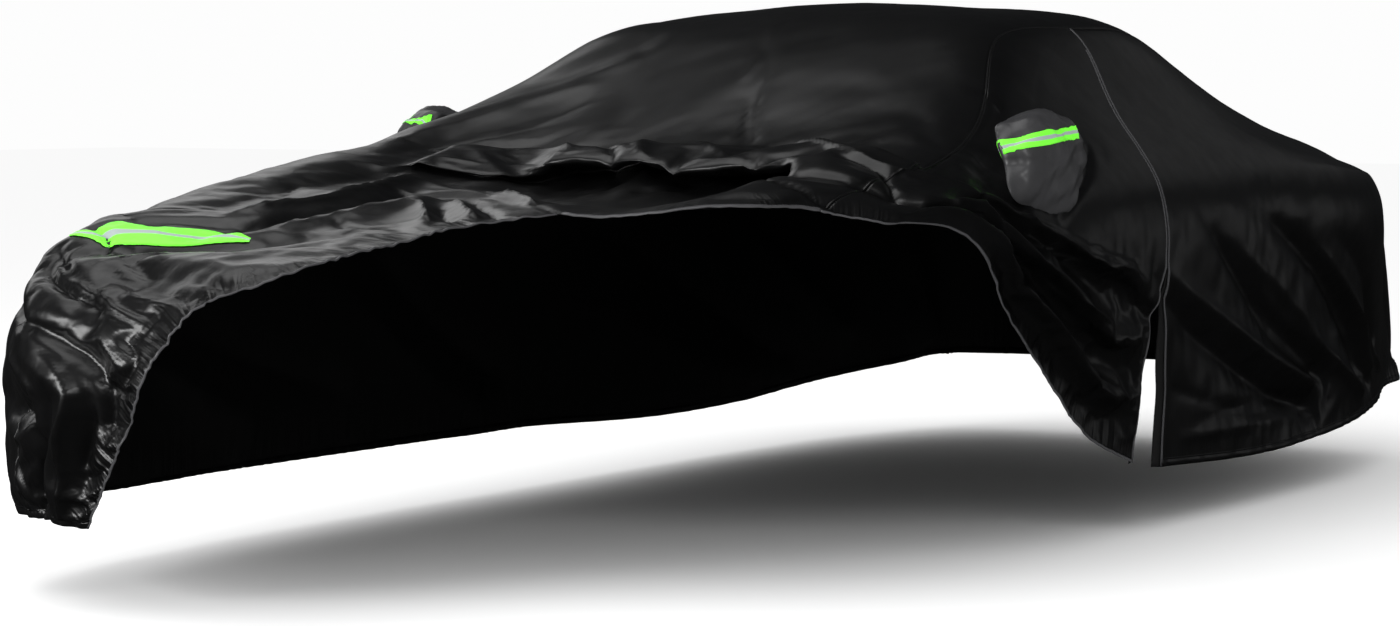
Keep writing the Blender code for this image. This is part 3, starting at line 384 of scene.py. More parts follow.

# %% [markdown]
# ## Creases
# Coated cloth doesn't only hang in soft folds: it keeps small sharp creases where it was bunched and
# folded. The ones that show are listed one by one, as narrower folds. They are too fine for the solids.

# %% The small creases, listed one by one
CREASES = [
    # name             path                                                          heights      width crest
    # the front corner: a broad valley that curves round, fans of narrow lines, and hollows by a thin ridge
    ("nose_valley",   [(2.55, -1.9), (2.35, -1.5), (2.1, -0.83), (1.9, -0.64),
                       (1.6, -0.51), (1.1, -0.5)],                                  (-5, -12, -17), 15, 5),
    ("nose_crest",    [(2.3, -1.9), (2.05, -1.3), (1.9, -0.8), (1.7, -0.63)],       (5, 9, 8),    16,  4),
    ("hem_crest",     [(1.7, -0.51), (1.56, -0.46), (1.2, -0.46), (0.95, -0.48)],   (8, 12, 8),   8,   2),
    ("thin_ridge",    [(1.8, -0.85), (1.64, -0.7), (1.42, -0.64), (1.1, -0.71),
                       (0.55, -0.78), (0.12, -0.86)],                               (10, 17, 17), 9,   2),
    ("left_hollow",   [(1.55, -0.76), (1.15, -0.82), (0.6, -1.02), (0.05, -1.3)],   (-14, -20),   18,  6),
    ("right_hollow",  [(1.55, -0.61), (1.35, -0.57), (1.1, -0.59), (0.65, -0.69)],  (-16, -18),   13,  4),
    ("dimple_line",   [(1.15, -1.85), (1.2, -1.3), (1.2, -0.95)],                   (-14, -20),   15,  3),
    ("dimple_brow",   [(1.85, -1.6), (1.6, -1.0), (1.42, -0.86)],                   (8, 12),      12,  3),
    ("dimple_lip",    [(1.0, -1.8), (0.95, -1.25), (1.1, -0.95)],                   (9, 12),      14,  3),
    ("corner_balloon", [(0.15, -2.0), (0.35, -1.6), (0.5, -1.35)],                  (12, 14),     34,  20),
    ("fan_wedge",     [(3.3, -1.02), (3.04, -0.76), (2.7, -0.58)],                  (-8, -10),    9,   3),
    ("fan_band",      [(3.1, -1.02), (2.95, -0.88), (2.66, -0.68), (2.5, -0.53)],   (-9, -11),    10,  4),
    ("fan_crest",     [(3.2, -1.0), (3.0, -0.82), (2.7, -0.62), (2.55, -0.5)],      (6, 8),       7,   2),
    ("fan_line_1",    [(2.5, -0.58), (2.26, -0.4), (2.1, -0.28), (2.0, -0.2)],      (-6, -7),     6,   2),
    ("fan_line_2",    [(2.66, -0.54), (2.4, -0.33), (2.26, -0.16)],                 (-6, -6),     6,   2),
    ("fan_line_3",    [(2.85, -0.5), (2.6, -0.3), (2.5, -0.14)],                    (7, 6),       7,   2),
    ("fan_line_4",    [(3.3, -0.65), (3.14, -0.43), (3.04, -0.22), (2.95, -0.05)],  (-9, -8),     8,   3),
    ("fan_line_5",    [(3.35, -0.55), (3.28, -0.35), (3.2, -0.12)],                 (8, 7),       9,   3),
    ("black_square",  [(3.14, -0.66), (3.06, -0.56), (2.98, -0.46)],                (-14, -12),   11,  6),
    ("jagged_patch",  [(2.1, -0.44), (1.95, -0.37), (1.78, -0.35), (1.6, -0.4)],    (-12, -14),   11,  5),
    ("jagged_foot",   [(1.56, -0.5), (1.48, -0.4), (1.52, -0.34)],                  (-12, -10),   9,   3),
    ("patch_crest",   [(2.0, -0.5), (1.8, -0.43), (1.7, -0.38)],                    (9, 8),       8,   2),
    ("hem_pleat_1",   [(1.18, -0.52), (1.12, -0.45), (1.22, -0.38)],                (-9, -7),     6,   2),
    ("hem_pleat_2",   [(1.0, -0.54), (0.96, -0.46), (1.02, -0.42)],                 (8, 6),       7,   2),
    ("hem_pleat_3",   [(0.6, -0.76), (0.56, -0.69), (0.7, -0.53)],                  (-10, -7),    8,   2),
    ("hem_pleat_4",   [(0.44, -0.79), (0.38, -0.71), (0.5, -0.58)],                 (10, 7),      8,   2),
    ("hem_pleat_5",   [(0.3, -0.8), (0.26, -0.72), (0.36, -0.62)],                  (-9, -6),     7,   2),
    ("hem_pleat_6",   [(0.14, -0.87), (0.14, -0.76), (0.24, -0.66)],                (9, 6),       8,   2),
    # above the nose: the strip's dark folds, then a flat light field over a broad dark one
    ("strip_fold",    [(3.62, -0.98), (3.6, -0.86), (3.42, -0.78)],                 (-14, -14),   9,   3),
    ("strip_under",   [(3.4, -0.72), (3.58, -0.6), (3.66, -0.43), (3.5, -0.22)],    (-12, -12),   12,  4),
    ("field_edge",    [(4.3, -0.62), (4.8, -0.54), (5.3, -0.52), (5.75, -0.52)],    (20, 22),     20,  4),
    ("dark_field",    [(4.05, -0.5), (4.5, -0.46), (5.0, -0.42), (5.5, -0.42)],     (-24, -30),   24,  6),
    ("low_field",     [(4.3, -0.42), (4.8, -0.34), (5.2, -0.27)],                   (16, 16),     18,  4),
    ("field_crease",  [(5.2, -0.78), (5.0, -0.72), (4.85, -0.7)],                   (-6, -6),     10,  3),
    ("low_curl",      [(4.66, -0.33), (4.54, -0.25), (4.6, -0.1)],                  (-7, -7),     8,   2),
    ("pleat_1",       [(5.22, -0.27), (4.97, -0.12), (4.75, -0.02)],                (18, 20),     11,  2),
    ("pleat_2",       [(5.2, -0.17), (4.98, -0.05), (4.8, 0.05)],                   (-16, -16),   11,  2),
    ("pleat_3",       [(5.35, -0.2), (5.12, -0.04), (4.9, 0.1)],                    (18, 20),     11,  2),
    ("pleat_4",       [(5.5, -0.22), (5.25, -0.02), (4.98, 0.16)],                  (-16, -16),   11,  2),
    ("pleat_5",       [(5.66, -0.16), (5.5, -0.02), (5.28, 0.14)],                  (18, 18),     11,  2),
    ("pleat_6",       [(5.85, -0.18), (5.7, 0.0), (5.5, 0.14)],                     (-12, -12),   11,  2),
    ("brow_ridge",    [(6.1, -0.95), (5.2, -0.98), (4.5, -0.98)],                   (5, 5),       26,  8),
    # over the slope to the roof
    ("slope_ridge_2", [(6.3, -0.88), (6.85, -0.82), (7.3, -0.73), (7.7, -0.65),
                       (8.0, -0.53)],                                               (6, 4),       18,  5),
    ("slope_valley",  [(6.1, -0.78), (6.8, -0.71), (7.2, -0.58), (7.8, -0.48)],     (-6, -5),     18,  5),
    ("slope_line",    [(8.7, -0.06), (8.1, 0.13), (7.85, 0.15), (7.35, 0.25)],      (-4, -7),     14,  3),
    ("slope_fan",     [(8.9, -0.08), (8.4, 0.03), (8.1, 0.04)],                     (3, 5),       14,  4),
    ("slope_dart",    [(8.1, 0.93), (8.1, 1.05), (8.1, 1.18)],                      (-5, -5),     8,   2),
    # round the foot of the left pocket and down the drawn-back side
    ("facet_top",     [(7.24, 0.28), (7.02, 0.48), (6.7, 0.69), (6.34, 0.96),
                       (6.46, 1.33), (6.64, 1.8)],                                  (11, 13),     10,  2),
    ("facet_crease",  [(6.34, 0.81), (6.08, 1.29), (5.96, 1.51), (6.02, 1.77)],     (-14, -16),   11,  2),
    ("facet_foot",    [(6.5, 0.45), (5.6, 0.9), (5.5, 1.23), (5.66, 1.88)],         (-10, -12),   12,  3),
    ("lump_1",        [(6.95, -0.3), (6.7, -0.22), (6.4, -0.24)],                   (12, 10),     14,  3),
    ("lump_2",        [(7.0, -0.14), (6.75, -0.1), (6.5, -0.02), (6.2, -0.05)],     (-10, -12),   12,  3),
    ("lump_3",        [(7.05, 0.0), (6.8, 0.02), (6.4, 0.1)],                       (12, 12),     14,  3),
    ("lump_4",        [(6.7, 0.2), (6.4, 0.22), (6.1, 0.14)],                       (-12, -10),   13,  3),
    ("lump_5",        [(7.1, 0.1), (6.9, 0.22), (6.6, 0.34)],                       (9, 12),      12,  3),
    ("tongue_line_1", [(6.5, -0.5), (6.2, -0.35), (6.0, -0.15)],                    (5, 6),       16,  4),
    ("tongue_line_2", [(6.75, -0.45), (6.5, -0.32), (6.35, -0.15)],                 (-5, -6),     16,  4),
    ("foot_pleat_1",  [(6.58, 1.97), (6.46, 2.09), (6.5, 2.17)],                    (10, 12),     8,   2),
    ("foot_pleat_2",  [(6.64, 2.0), (6.68, 2.09), (6.8, 2.16)],                     (-12, -12),   8,   2),
    ("foot_pleat_3",  [(6.98, 2.0), (7.02, 2.09), (7.15, 2.14), (7.6, 2.18)],       (10, 10),     9,   2),
    ("pocket_shade",  [(9.1, 1.74), (8.74, 1.87), (8.28, 2.0), (7.7, 2.08)],        (-12, -20),   10,  2),
    ("swag_1",        [(6.95, 2.19), (7.35, 2.28), (8.0, 2.36), (8.9, 2.44)],       (13, 16),     10,  2),
    ("swag_2",        [(7.0, 2.05), (7.15, 2.14), (7.85, 2.22), (8.8, 2.28)],       (12, 15),     9,   2),
    ("swag_roll",     [(6.3, 2.05), (6.5, 2.2), (7.05, 2.36), (7.5, 2.44),
                       (8.5, 2.62), (9.1, 2.7)],                                    (9, 12),      9,   2),
    # the left rear quarter
    ("quarter_1",     [(9.9, 2.26), (10.2, 2.34), (10.8, 2.47), (11.35, 2.62),
                       (12.3, 2.79)],                                               (7, 16),      17,  3),
    ("quarter_2",     [(11.0, 2.33), (11.55, 2.49), (12.3, 2.67), (13.1, 2.91)],    (8, 16),      16,  3),
    ("quarter_3",     [(11.9, 2.27), (12.45, 2.42), (12.9, 2.54), (13.95, 2.86)],   (8, 15),      10,  2),
    ("quarter_v1",    [(9.7, 2.3), (10.3, 2.45), (10.85, 2.59), (11.55, 2.76),
                       (12.3, 2.9)],                                                (-10, -16),   24,  5),
    ("quarter_v2",    [(10.45, 2.12), (11.1, 2.4), (11.5, 2.57), (12.4, 2.78)],     (-8, -16),    20,  4),
    ("quarter_v3",    [(11.2, 2.12), (12.0, 2.34), (12.6, 2.5), (13.5, 2.9)],       (-10, -18),   24,  5),
    ("quarter_low_1", [(10.6, 2.84), (11.4, 2.8), (12.2, 2.83)],                    (-5, -6),     12,  3),
    ("quarter_low_2", [(10.4, 2.9), (11.1, 2.88), (12.1, 2.89)],                    (6, 6),       10,  3),
    ("quarter_low_3", [(10.2, 2.7), (10.8, 2.78), (11.6, 2.86)],                    (-5, -6),     14,  4),
    ("quarter_nick",  [(12.4, 2.6), (12.7, 2.6), (12.9, 2.64)],                     (6, 6),       10,  3),
]
print("small creases:", len(CREASES))


# %% [markdown]
# ## Where the cloth is crumpled
# The cloth is smooth where it lies on the roof and hangs down the rear, and crumpled where it was handled:
# at the front corner, in the bunch and down the drawn-back side. A number from 0 to 1 says so for any
# point. Such cloth breaks into flat facets with sharp creases between them, which a sum of bent zigzag
# waves gives.

# %% Crumpled facets
CRUMPLED = [
    # place            x, s, z              reach  how much
    ("front_corner",  (-0.55, 0.30, 0.45),  0.75,  1.00),
    ("front_top",     (-0.20, 0.95, 0.86),  0.60,  0.55),
    ("bunch_right",   (-0.25, 1.45, 0.95),  0.40,  0.70),
    ("bunch_left",    (0.50, 1.45, 0.97),   0.45,  0.70),
    ("pocket_foot",   (0.95, 1.70, 0.80),   0.30,  0.75),
    ("side_folds",    (0.98, 2.15, 0.45),   0.38,  0.70),
    ("rear_low",      (0.97, 3.30, 0.45),   0.55,  0.45),
]
EVERYWHERE = 0.10
ZIGZAGS = [
    # direction           length  height  start
    ((0.9, 0.5, 0.4),     210,    3.6,    0.3),
    ((-0.4, 0.8, 0.7),    150,    2.6,    1.9),
    ((0.3, -0.6, 0.9),    112,    2.0,    4.1),
    ((0.8, 0.2, -0.7),    78,     1.3,    2.6),
    ((-0.7, 0.9, -0.2),   55,     0.9,    5.2),
]
SHARPNESS = 0.97  # 1 would be a zigzag with knife edges


def creased(points):
    """How crumpled the cloth is at points (x, s, z), from 0 to 1."""
    most = np.full(len(points), EVERYWHERE)
    for _, centre, reach, share in CRUMPLED:
        away = np.linalg.norm(points - centre, axis=1) / reach
        most = np.maximum(most, share * np.exp(-away**2))
    return most


def facets(points):
    """The height of the crumpled facets, in metres, where the cloth is crumpled fully."""
    bent = points + 0.035 * np.sin(points[:, [1, 2, 0]] * 9 + [0.4, 2.0, 3.5])
    bent += 0.012 * np.sin(points[:, [2, 0, 1]] * 27 + [1.0, 0.2, 2.2])
    lift = np.zeros(len(points))
    for direction, length, height, start in ZIGZAGS:
        turn = bent @ (np.array(direction) / np.linalg.norm(direction)) * 2 * np.pi / (length * MM) + start
        lift += height * MM * np.arcsin(SHARPNESS * np.sin(turn)) / np.arcsin(SHARPNESS)
    return lift


print("crumpled places:", len(CRUMPLED))

# %% [markdown]
# ## Gathers
# The hem is drawn up on elastic, so the cloth ends in short waves square to it, every 4 to 5 cm, which die
# away within a hand's breadth. Finer puckers between them, 16 mm apart, are left to the finish. For that,
# each point also gets how far along the hem it lies, and how near it is.

# %% Waves square to the hem
FRONT_HEM = [
    (0, -0.73), (0.60, -0.53), (1.15, -0.39), (1.9, -0.24), (2.58, -0.13), (2.9, -0.03),
    (3.2, 0.09), (3.65, 0.14), (4.42, 0.13), (4.88, 0.20), (5.15, 0.30),
]
HEM_LINES = [
    # name, path, then height, pitch and reach of the waves in mm, and the puckers' share
    ("front", FRONT_HEM,                                                              3.0,  44,  42,  1.0),
    ("bunch", [(5.15, 0.3), (5.05, 0.62), (5.15, 0.93), (5.42, 1.36), (5.6, 1.88)],   1.5,  46,  34,  0.3),
    ("side",  [(6.1, 2.07), (6.55, 2.33), (7.25, 2.54), (8.25, 2.82), (9.32, 2.96)],  1.5,  50,  30,  0.5),
    ("nose",  [(0, -0.73), (0, -1.5), (0, -2.2), (0, -3)],                            3.5,  48,  60,  0.5),
    ("right", [(0, -3), (4, -3), (8, -3), (12, -3), (17, -3)],                        2.5,  58,  70,  0.2),
    ("left",  [(10.15, 3), (12, 3), (14, 3), (15.5, 3), (17, 3)],                     2.0,  62,  60,  0.15),
    ("tail",  [(17, 3), (17, 1), (17, -1), (17, -3)],                                 2.5,  56,  70,  0.2),
]
HEM_POINTS = 12  # points on a hem's line for each point of its path


def along_hems(points):
    """Metres along the nearest hem, and a share that falls from 1 at the hem to 0, for (x, s, z) points."""
    metres, closeness, lift = np.zeros(len(points)), np.zeros(len(points)), np.zeros(len(points))
    for _, path, height, pitch, reach, puckers in HEM_LINES:
        line = body_points(curve_through(path, np.linspace(0, 1, HEM_POINTS * len(path))))
        margin = 5 * reach * MM
        low, high = line.min(axis=0) - margin, line.max(axis=0) + margin
        near = np.flatnonzero(np.all((points > low) & (points < high), axis=1))
        away, share = nearest_on(line, points[near])
        length = np.linalg.norm(np.diff(line, axis=0), axis=1).sum()
        falls = np.exp(-away / (reach * MM))
        turn = 2 * np.pi * share * length / (pitch * MM)
        wave = np.sin(turn + 1.4 * np.sin(0.31 * turn)) * (0.65 + 0.35 * np.sin(0.47 * turn + 1))
        lift[near] += height * MM * wave * falls
        closer = falls * puckers > closeness[near]
        metres[near[closer]] = (share * length)[closer]
        closeness[near[closer]] = (falls * puckers)[closer]
    return metres, closeness, lift


print("hem lines:", len(HEM_LINES))


# %% [markdown]
# ## The draped cloth
# All of this comes together in one function, so that panels, seams and strips lie on the very same surface.

# %% One surface for everything
def draped(places, rises=0.0):
    """Points of the finished cloth, as a grid like the grid of places."""
    flat = np.reshape(places, (-1, 2))
    points = body_points(flat)
    lift = fold_heights(points, FOLDS) + fold_heights(points, CREASES) + slack_heights(points)
    lift += facets(points) * creased(points) + along_hems(points)[2] + np.ravel(rises)
    return (points + outward(flat) * lift[:, None]).reshape(np.shape(places)[:-1] + (3,))


print("the middle of the roof's front lies at", draped(np.array([[[9, 0.0]]])).round(3).tolist())


# %% [markdown]
# ## The drawn-back cloth
# The front hem was lifted and pushed back on the left, so the cloth lies in flattened rolls across the
# middle and hangs in folds below the left pocket. Each row of the table is a cut through that bunch: where
# its back edge and its front hem lie, and a profile of how the cloth runs between them, up and over itself.

# %% Profiles and cuts of the bunched cloth
PROFILE_END = 12  # a profile's points are numbered 0 to this
FLAT = [(i / PROFILE_END, 0) for i in range(PROFILE_END + 1)]
TONGUE = [(0, 0), (0.04, 12), (0.12, 32), (0.24, 36), (0.36, 35), (0.46, 34), (0.55, 30), (0.62, 19),
          (0.54, 4), (0.68, 3), (0.84, 6), (0.93, 4), (1, 2)]
PILE = [(0, 0), (0.07, 20), (0.15, 46), (0.27, 56), (0.38, 54), (0.42, 38), (0.34, 14), (0.16, -6),
        (0.14, -24), (0.34, -27), (0.70, -26), (0.93, 0), (1, 1)]
FACET = [(0, 0), (0.06, 14), (0.13, 34), (0.22, 35), (0.33, 33), (0.45, 31), (0.53, 33), (0.60, 26),
         (0.64, 12), (0.72, 20), (0.84, 20), (0.93, 12), (1, 4)]
CORNER = [(0, 2), (0.05, 12), (0.12, 26), (0.18, 20), (0.22, 0), (0.30, 4), (0.40, 28), (0.46, 20),
          (0.50, -2), (0.60, 6), (0.74, 32), (0.84, 22), (1, 4)]
SIDE = [(0, 3), (0.02, 12), (0.05, 20), (0.09, 12), (0.12, -26), (0.24, -24), (0.37, 16), (0.42, 4),
        (0.45, -32), (0.58, -30), (0.72, 24), (0.80, -18), (1, -14)]
ZIP_EDGE = [(0, 2), (0.08, 4), (0.15, 7), (0.19, 1), (0.23, -8), (0.28, -2), (0.35, 6), (0.41, 7),
            (0.48, 6), (0.56, 7), (0.66, 10), (0.80, 12), (1, 12)]

BUNCH = [
    # name            back edge       front hem       profile   columns up to the next row, as on the solids
    ("right_seam",   (6.60, -1.27), (4.90, -1.45), FLAT,     2),
    ("right_top",    (6.62, -1.05), (5.05, -1.05), FLAT,     3),
    ("tongue_side",  (6.72, -0.72), (5.35, -0.70), FLAT,     1),
    ("tongue_tip",   (6.78, -0.61), (5.50, -0.58), TONGUE,   2),
    ("tongue",       (6.98, -0.40), (5.60, -0.38), TONGUE,   2),
    ("middle",       (7.10, -0.15), (5.48, -0.08), PILE,     3),
    ("hem_corner",   (7.22, 0.16),  (5.15, 0.30),  PILE,     2),
    ("left_top",     (7.24, 0.42),  (5.05, 0.62),  PILE,     2),
    ("facet_start",  (7.08, 0.66),  (5.15, 0.93),  FACET,    2),
    ("left_seam",    (6.76, 1.00),  (5.42, 1.36),  FACET,    3),
    ("left_shoulder", (6.70, 1.50), (5.60, 1.88),  FACET,    3),
    ("pocket_foot",  (6.86, 1.93),  (6.10, 2.07),  CORNER,   2),
    ("side_front",   (7.22, 2.09),  (6.55, 2.33),  SIDE,     4),
    ("side_mid",     (8.15, 2.17),  (7.25, 2.54),  SIDE,     4),
    ("side_rear",    (9.05, 2.24),  (8.25, 2.82),  SIDE,     4),
    ("zip_edge",     (9.98, 2.28),  (9.32, 2.96),  ZIP_EDGE, 0),
]
LEFT_SEAM, HEM_CORNER = 9, 6  # rows of BUNCH
ROOF_GIRTHS = [-1, -0.82, -0.66, -0.54, -0.36, -0.12, 0.18, 0.44, 0.70, 1]  # where those rows end
RIGHT_SEAM = [(0, -1.5), BUNCH[0][2], BUNCH[0][1], (ZIP_STATION, -1.0), (REAR, -1.0)]
ZIP_FOOT = 2.28  # girth where the zip stops and the slit below it opens
SLIT = [(ZIP_FOOT, 10.0), (2.45, 10.06), (2.70, 10.15), (2.97, 10.15)]  # girth, station of its rear edge


def smooth_step(t):
    """Eases a share that runs from 0 to 1, so that it starts and ends level."""
    return t * t * (3 - 2 * t)


def bunch(rows, columns):
    """Places and rises of the bunched cloth; rows count from 0 at the hem to PROFILE_END at the back edge."""
    knots = np.arange(len(BUNCH))
    ends = spline_weights(knots, columns) @ np.array([(*row[1], *row[2]) for row in BUNCH])
    profiles = np.array([row[3] for row in BUNCH], float)
    first = np.clip(columns.astype(int), 0, len(BUNCH) - 2)
    mix = smooth_step(columns - first)[:, None, None]
    profile = profiles[first] * (1 - mix) + profiles[first + 1] * mix
    across = spline_weights(np.arange(PROFILE_END + 1), PROFILE_END - rows)
    share, rise = np.moveaxis(np.einsum("rf,cfk->rck", across, profile), 2, 0)
    places = ends[None, :, :2] * (1 - share[..., None]) + ends[None, :, 2:] * share[..., None]
    return places, rise * MM


# %% [markdown]
# ## How fine the cloth is
# Cells of about 1 cm follow every crease, and the roof and tail, which are smooth, take cells twice as
# long. The top panel is one piece of cloth, so its columns run the whole way from nose to tail.

# %% Rows and columns of the fine panels
FINER = 6  # times as many columns as on the solids


def columns_between(first, last):
    """Column numbers of the mesh between two rows of BUNCH."""
    parts = [np.linspace(i, i + 1, BUNCH[i][4] * FINER, endpoint=False) for i in range(first, last)]
    return np.concatenate([*parts, [last]])


def stations_between(first, last, count):
    """Stations an even distance apart along the cover."""
    metres = np.interp([first, last], np.arange(REAR + 1), ALONG)
    return np.interp(np.linspace(*metres, count + 1), ALONG, np.arange(REAR + 1))


BUNCH_ROWS = np.linspace(0, PROFILE_END, 112)
FRONT_ROWS = stations_between(0, BUNCH[0][2][0], 200)
TAIL_ROWS = stations_between(ZIP_STATION, REAR, 90)
SIDE_REAR_ROWS = stations_between(ZIP_STATION, REAR, 240)
TOP_COLUMNS = columns_between(0, LEFT_SEAM)
SLOPE_SHARES = np.linspace(0, 1, 64)  # from the bunched cloth's back edge to the zip's top
RISE_FADES = 5  # the power with which the bunch's height fades into the cloth ahead of it
print("top panel columns:", len(TOP_COLUMNS))


# %% Grids of points for the four panels
def top_panel_grid():
    """The top panel in four blocks, front to rear, NaN where the front hem leaves no cloth."""
    bunched, rises = bunch(BUNCH_ROWS, TOP_COLUMNS)
    girths = np.interp(TOP_COLUMNS, np.arange(LEFT_SEAM + 1), ROOF_GIRTHS)
    roof = np.array([(ZIP_STATION, girth) for girth in girths])
    corner = np.searchsorted(TOP_COLUMNS, HEM_CORNER)

    share = (FRONT_ROWS / FRONT_ROWS[-1])[:, None, None]
    along = (TOP_COLUMNS[: corner + 1] / HEM_CORNER)[None, :, None]
    nose_start, nose_end = RIGHT_SEAM[0][1], FRONT_HEM[0][1]
    nose = np.array([(0, nose_start + (nose_end - nose_start) * c) for c in along.ravel()])
    plain = nose * (1 - share) + bunched[0, : corner + 1] * share
    hem_station = share.ravel() * FRONT_HEM[-1][0]
    hem_table = np.array(FRONT_HEM)
    hem_girth = spline_weights(hem_table[:, 0], hem_station) @ hem_table[:, 1]
    hem_line = np.column_stack([hem_station, hem_girth])
    front = plain + along**2 * (hem_line[:, None] - plain[:, -1:])

    share = SLOPE_SHARES[:, None, None]
    slope = bunched[-1] * (1 - share) + roof * share
    tail = np.array([[(station, girth) for girth in roof[:, 1]] for station in TAIL_ROWS])
    whole = np.vstack([bunched, slope[1:], tail[1:]])
    lifts = np.vstack([rises, np.zeros((len(whole) - len(rises), len(TOP_COLUMNS)))])
    grid = np.full((len(front) - 1, len(TOP_COLUMNS), 3), np.nan)
    front_rises = (FRONT_ROWS / FRONT_ROWS[-1])[:-1, None] ** RISE_FADES * rises[0, : corner + 1]
    grid[:, : front.shape[1]] = draped(front[:-1], front_rises)
    return np.vstack([grid, draped(whole, lifts)])


def side_left_front_grid():
    """The left front panel: the rest of the bunched cloth, and above it rows that close in on the zip."""
    columns = columns_between(LEFT_SEAM, len(BUNCH) - 1)
    bunched, rises = bunch(BUNCH_ROWS, columns)
    top = np.array([ZIP_STATION, 1.0])
    shares = SLOPE_SHARES[1:, None, None]
    upper = bunched[-1] * (1 - shares) + top * shares
    fading = rises[-1] * (1 - shares[..., 0])
    return draped(np.vstack([bunched, upper]), np.vstack([rises, fading]))


def side_right_grid(rows_down=70):
    """The right panel, from its hem up to the roof seam; its rows meet the top panel's."""
    hem, back = BUNCH[0][2][0], BUNCH[0][1][0]
    stations = np.concatenate([FRONT_ROWS[:-1:2], np.linspace(hem, back, 40, endpoint=False),
                               back + (ZIP_STATION - back) * SLOPE_SHARES[:-1], TAIL_ROWS])
    seam = np.interp(stations, *np.array(RIGHT_SEAM).T)
    share = np.linspace(0, 1, rows_down + 1)
    girths = -HEM + (seam[:, None] + HEM) * share
    return draped(np.dstack([np.broadcast_to(stations[:, None], girths.shape), girths]))


def side_left_rear_grid(rows_down=110):
    """The left rear panel, from the roof seam to its hem; its front edge follows the zip and the slit."""
    girths = np.linspace(1, HEM, rows_down + 1)
    edge = np.interp(girths, *np.array(SLIT).T)
    share = (SIDE_REAR_ROWS - ZIP_STATION)[:, None] / (REAR - ZIP_STATION)
    stations = edge + (REAR - edge) * share
    return draped(np.dstack([stations, np.broadcast_to(girths, stations.shape)]))


def draw_back(edge, inner, by):
    """Moves one edge of a grid back from the zip, towards the next line of points."""
    away = inner - edge
    length = np.linalg.norm(away, axis=1, keepdims=True)
    edge += away / np.maximum(length, by) * np.minimum(by, length * 0.8)


ZIP_GAP = 8 * MM  # between the two panels where the zip is shut
top = top_panel_grid()
left_front = side_left_front_grid()
left_rear = side_left_rear_grid()
right = side_right_grid()
draw_back(left_front[:-1, -1], left_front[:-1, -2], ZIP_GAP / 2)
draw_back(left_rear[0], left_rear[1], ZIP_GAP / 2)
print("points:", *(np.isfinite(grid[..., 0]).sum() for grid in (top, left_front, left_rear, right)))

# %% [markdown]
# ## The cloth's finish
# The cloth is polyester taffeta with a thin coat of polyurethane: dense, smooth and a little shiny, so
# black with broad soft highlights. Its threads lie about 0.25 mm apart, which no view here could show, so
# the weave is drawn ten times as coarse and very shallow. A fine ridged noise stands for the creases under
# 3 cm.

# %% Coated polyester taffeta
THREAD = 0.25  # mm between threads
WEAVE_COARSER = 10  # the weave is drawn this many times as coarse as it is
PUCKERS = 16  # mm between the fine puckers at a hem


def taffeta(name, dark, light, roughness, crumple=0.35, crumple_mm=34):
    """Woven polyester with a thin coat; its attribute 'creased' says where it is crumpled most."""
    made, tree = new_material(name)
    place = add(tree, "ShaderNodeTexCoord")
    threads = add(tree, "ShaderNodeUVMap", {"uv_map": "metres"})
    dust = add(tree, "ShaderNodeTexNoise", Vector=place.outputs["Object"], Scale=9.0, Detail=4.0)
    colour = add(tree, "ShaderNodeMix", {"data_type": "RGBA"}, Factor=dust.outputs[0])
    colour.inputs[6].default_value, colour.inputs[7].default_value = linear(dark), linear(light)
    polish = add(tree, "ShaderNodeTexNoise", Vector=place.outputs["Object"], Scale=26.0, Detail=3.0)
    rough = add(tree, "ShaderNodeMapRange", Value=polish.outputs[0],
                To_Min=roughness - 0.05, To_Max=roughness + 0.07)
    ridges = add(tree, "ShaderNodeTexNoise", {"noise_type": "RIDGED_MULTIFRACTAL"},
                 Vector=place.outputs["Object"], Scale=1000 / crumple_mm, Detail=2.0, Distortion=0.6)
    creased = add(tree, "ShaderNodeAttribute", {"attribute_name": "creased"})
    depth = add(tree, "ShaderNodeMath", {"operation": "MULTIPLY"},
                i0=ridges.outputs[0], i1=creased.outputs["Fac"])
    hem = add(tree, "ShaderNodeAttribute", {"attribute_name": "hem"})
    hem = add(tree, "ShaderNodeSeparateXYZ", Vector=hem.outputs["Vector"])
    puckers = add(tree, "ShaderNodeTexNoise", {"noise_dimensions": "1D"}, W=hem.outputs[0],
                  Scale=1000 / PUCKERS, Detail=1.0)
    pucker = add(tree, "ShaderNodeMath", {"operation": "MULTIPLY"}, i0=puckers.outputs[0], i1=hem.outputs[1])
    waves = 1000 / (THREAD * WEAVE_COARSER)
    warp, weft = (add(tree, "ShaderNodeTexWave", {"bands_direction": way}, Vector=threads.outputs[0],
                      Scale=waves / 20) for way in "XY")
    weave = add(tree, "ShaderNodeMath", {"operation": "MULTIPLY"},
                i0=warp.outputs["Fac"], i1=weft.outputs["Fac"])
    fine = add(tree, "ShaderNodeBump", Strength=0.04, Distance=0.001, Height=weave.outputs[0])
    bump = add(tree, "ShaderNodeBump", Strength=crumple, Distance=0.004, Height=depth.outputs[0],
               Normal=fine.outputs[0])
    bump = add(tree, "ShaderNodeBump", Strength=1.0, Distance=0.011, Height=pucker.outputs[0],
               Normal=bump.outputs[0])
    shader = add(tree, "ShaderNodeBsdfPrincipled", Base_Color=colour.outputs[2], Roughness=rough.outputs[0],
                 Normal=bump.outputs[0], IOR=1.5, Coat_Weight=0.12, Coat_Roughness=0.22)
    add(tree, "ShaderNodeOutputMaterial", Surface=shader.outputs[0])
    return made


black_taffeta = taffeta("black_coated_taffeta", "#060606", "#0b0b0c", 0.34)
black_inside = taffeta("black_taffeta_inside", "#080808", "#0e0e0e", 0.62, crumple=0.2)
charcoal_taffeta = taffeta("charcoal_coated_taffeta", "#2b2b2c", "#39393b", 0.38, crumple_mm=26)
print("thread drawn every %.1f mm" % (THREAD * WEAVE_COARSER))

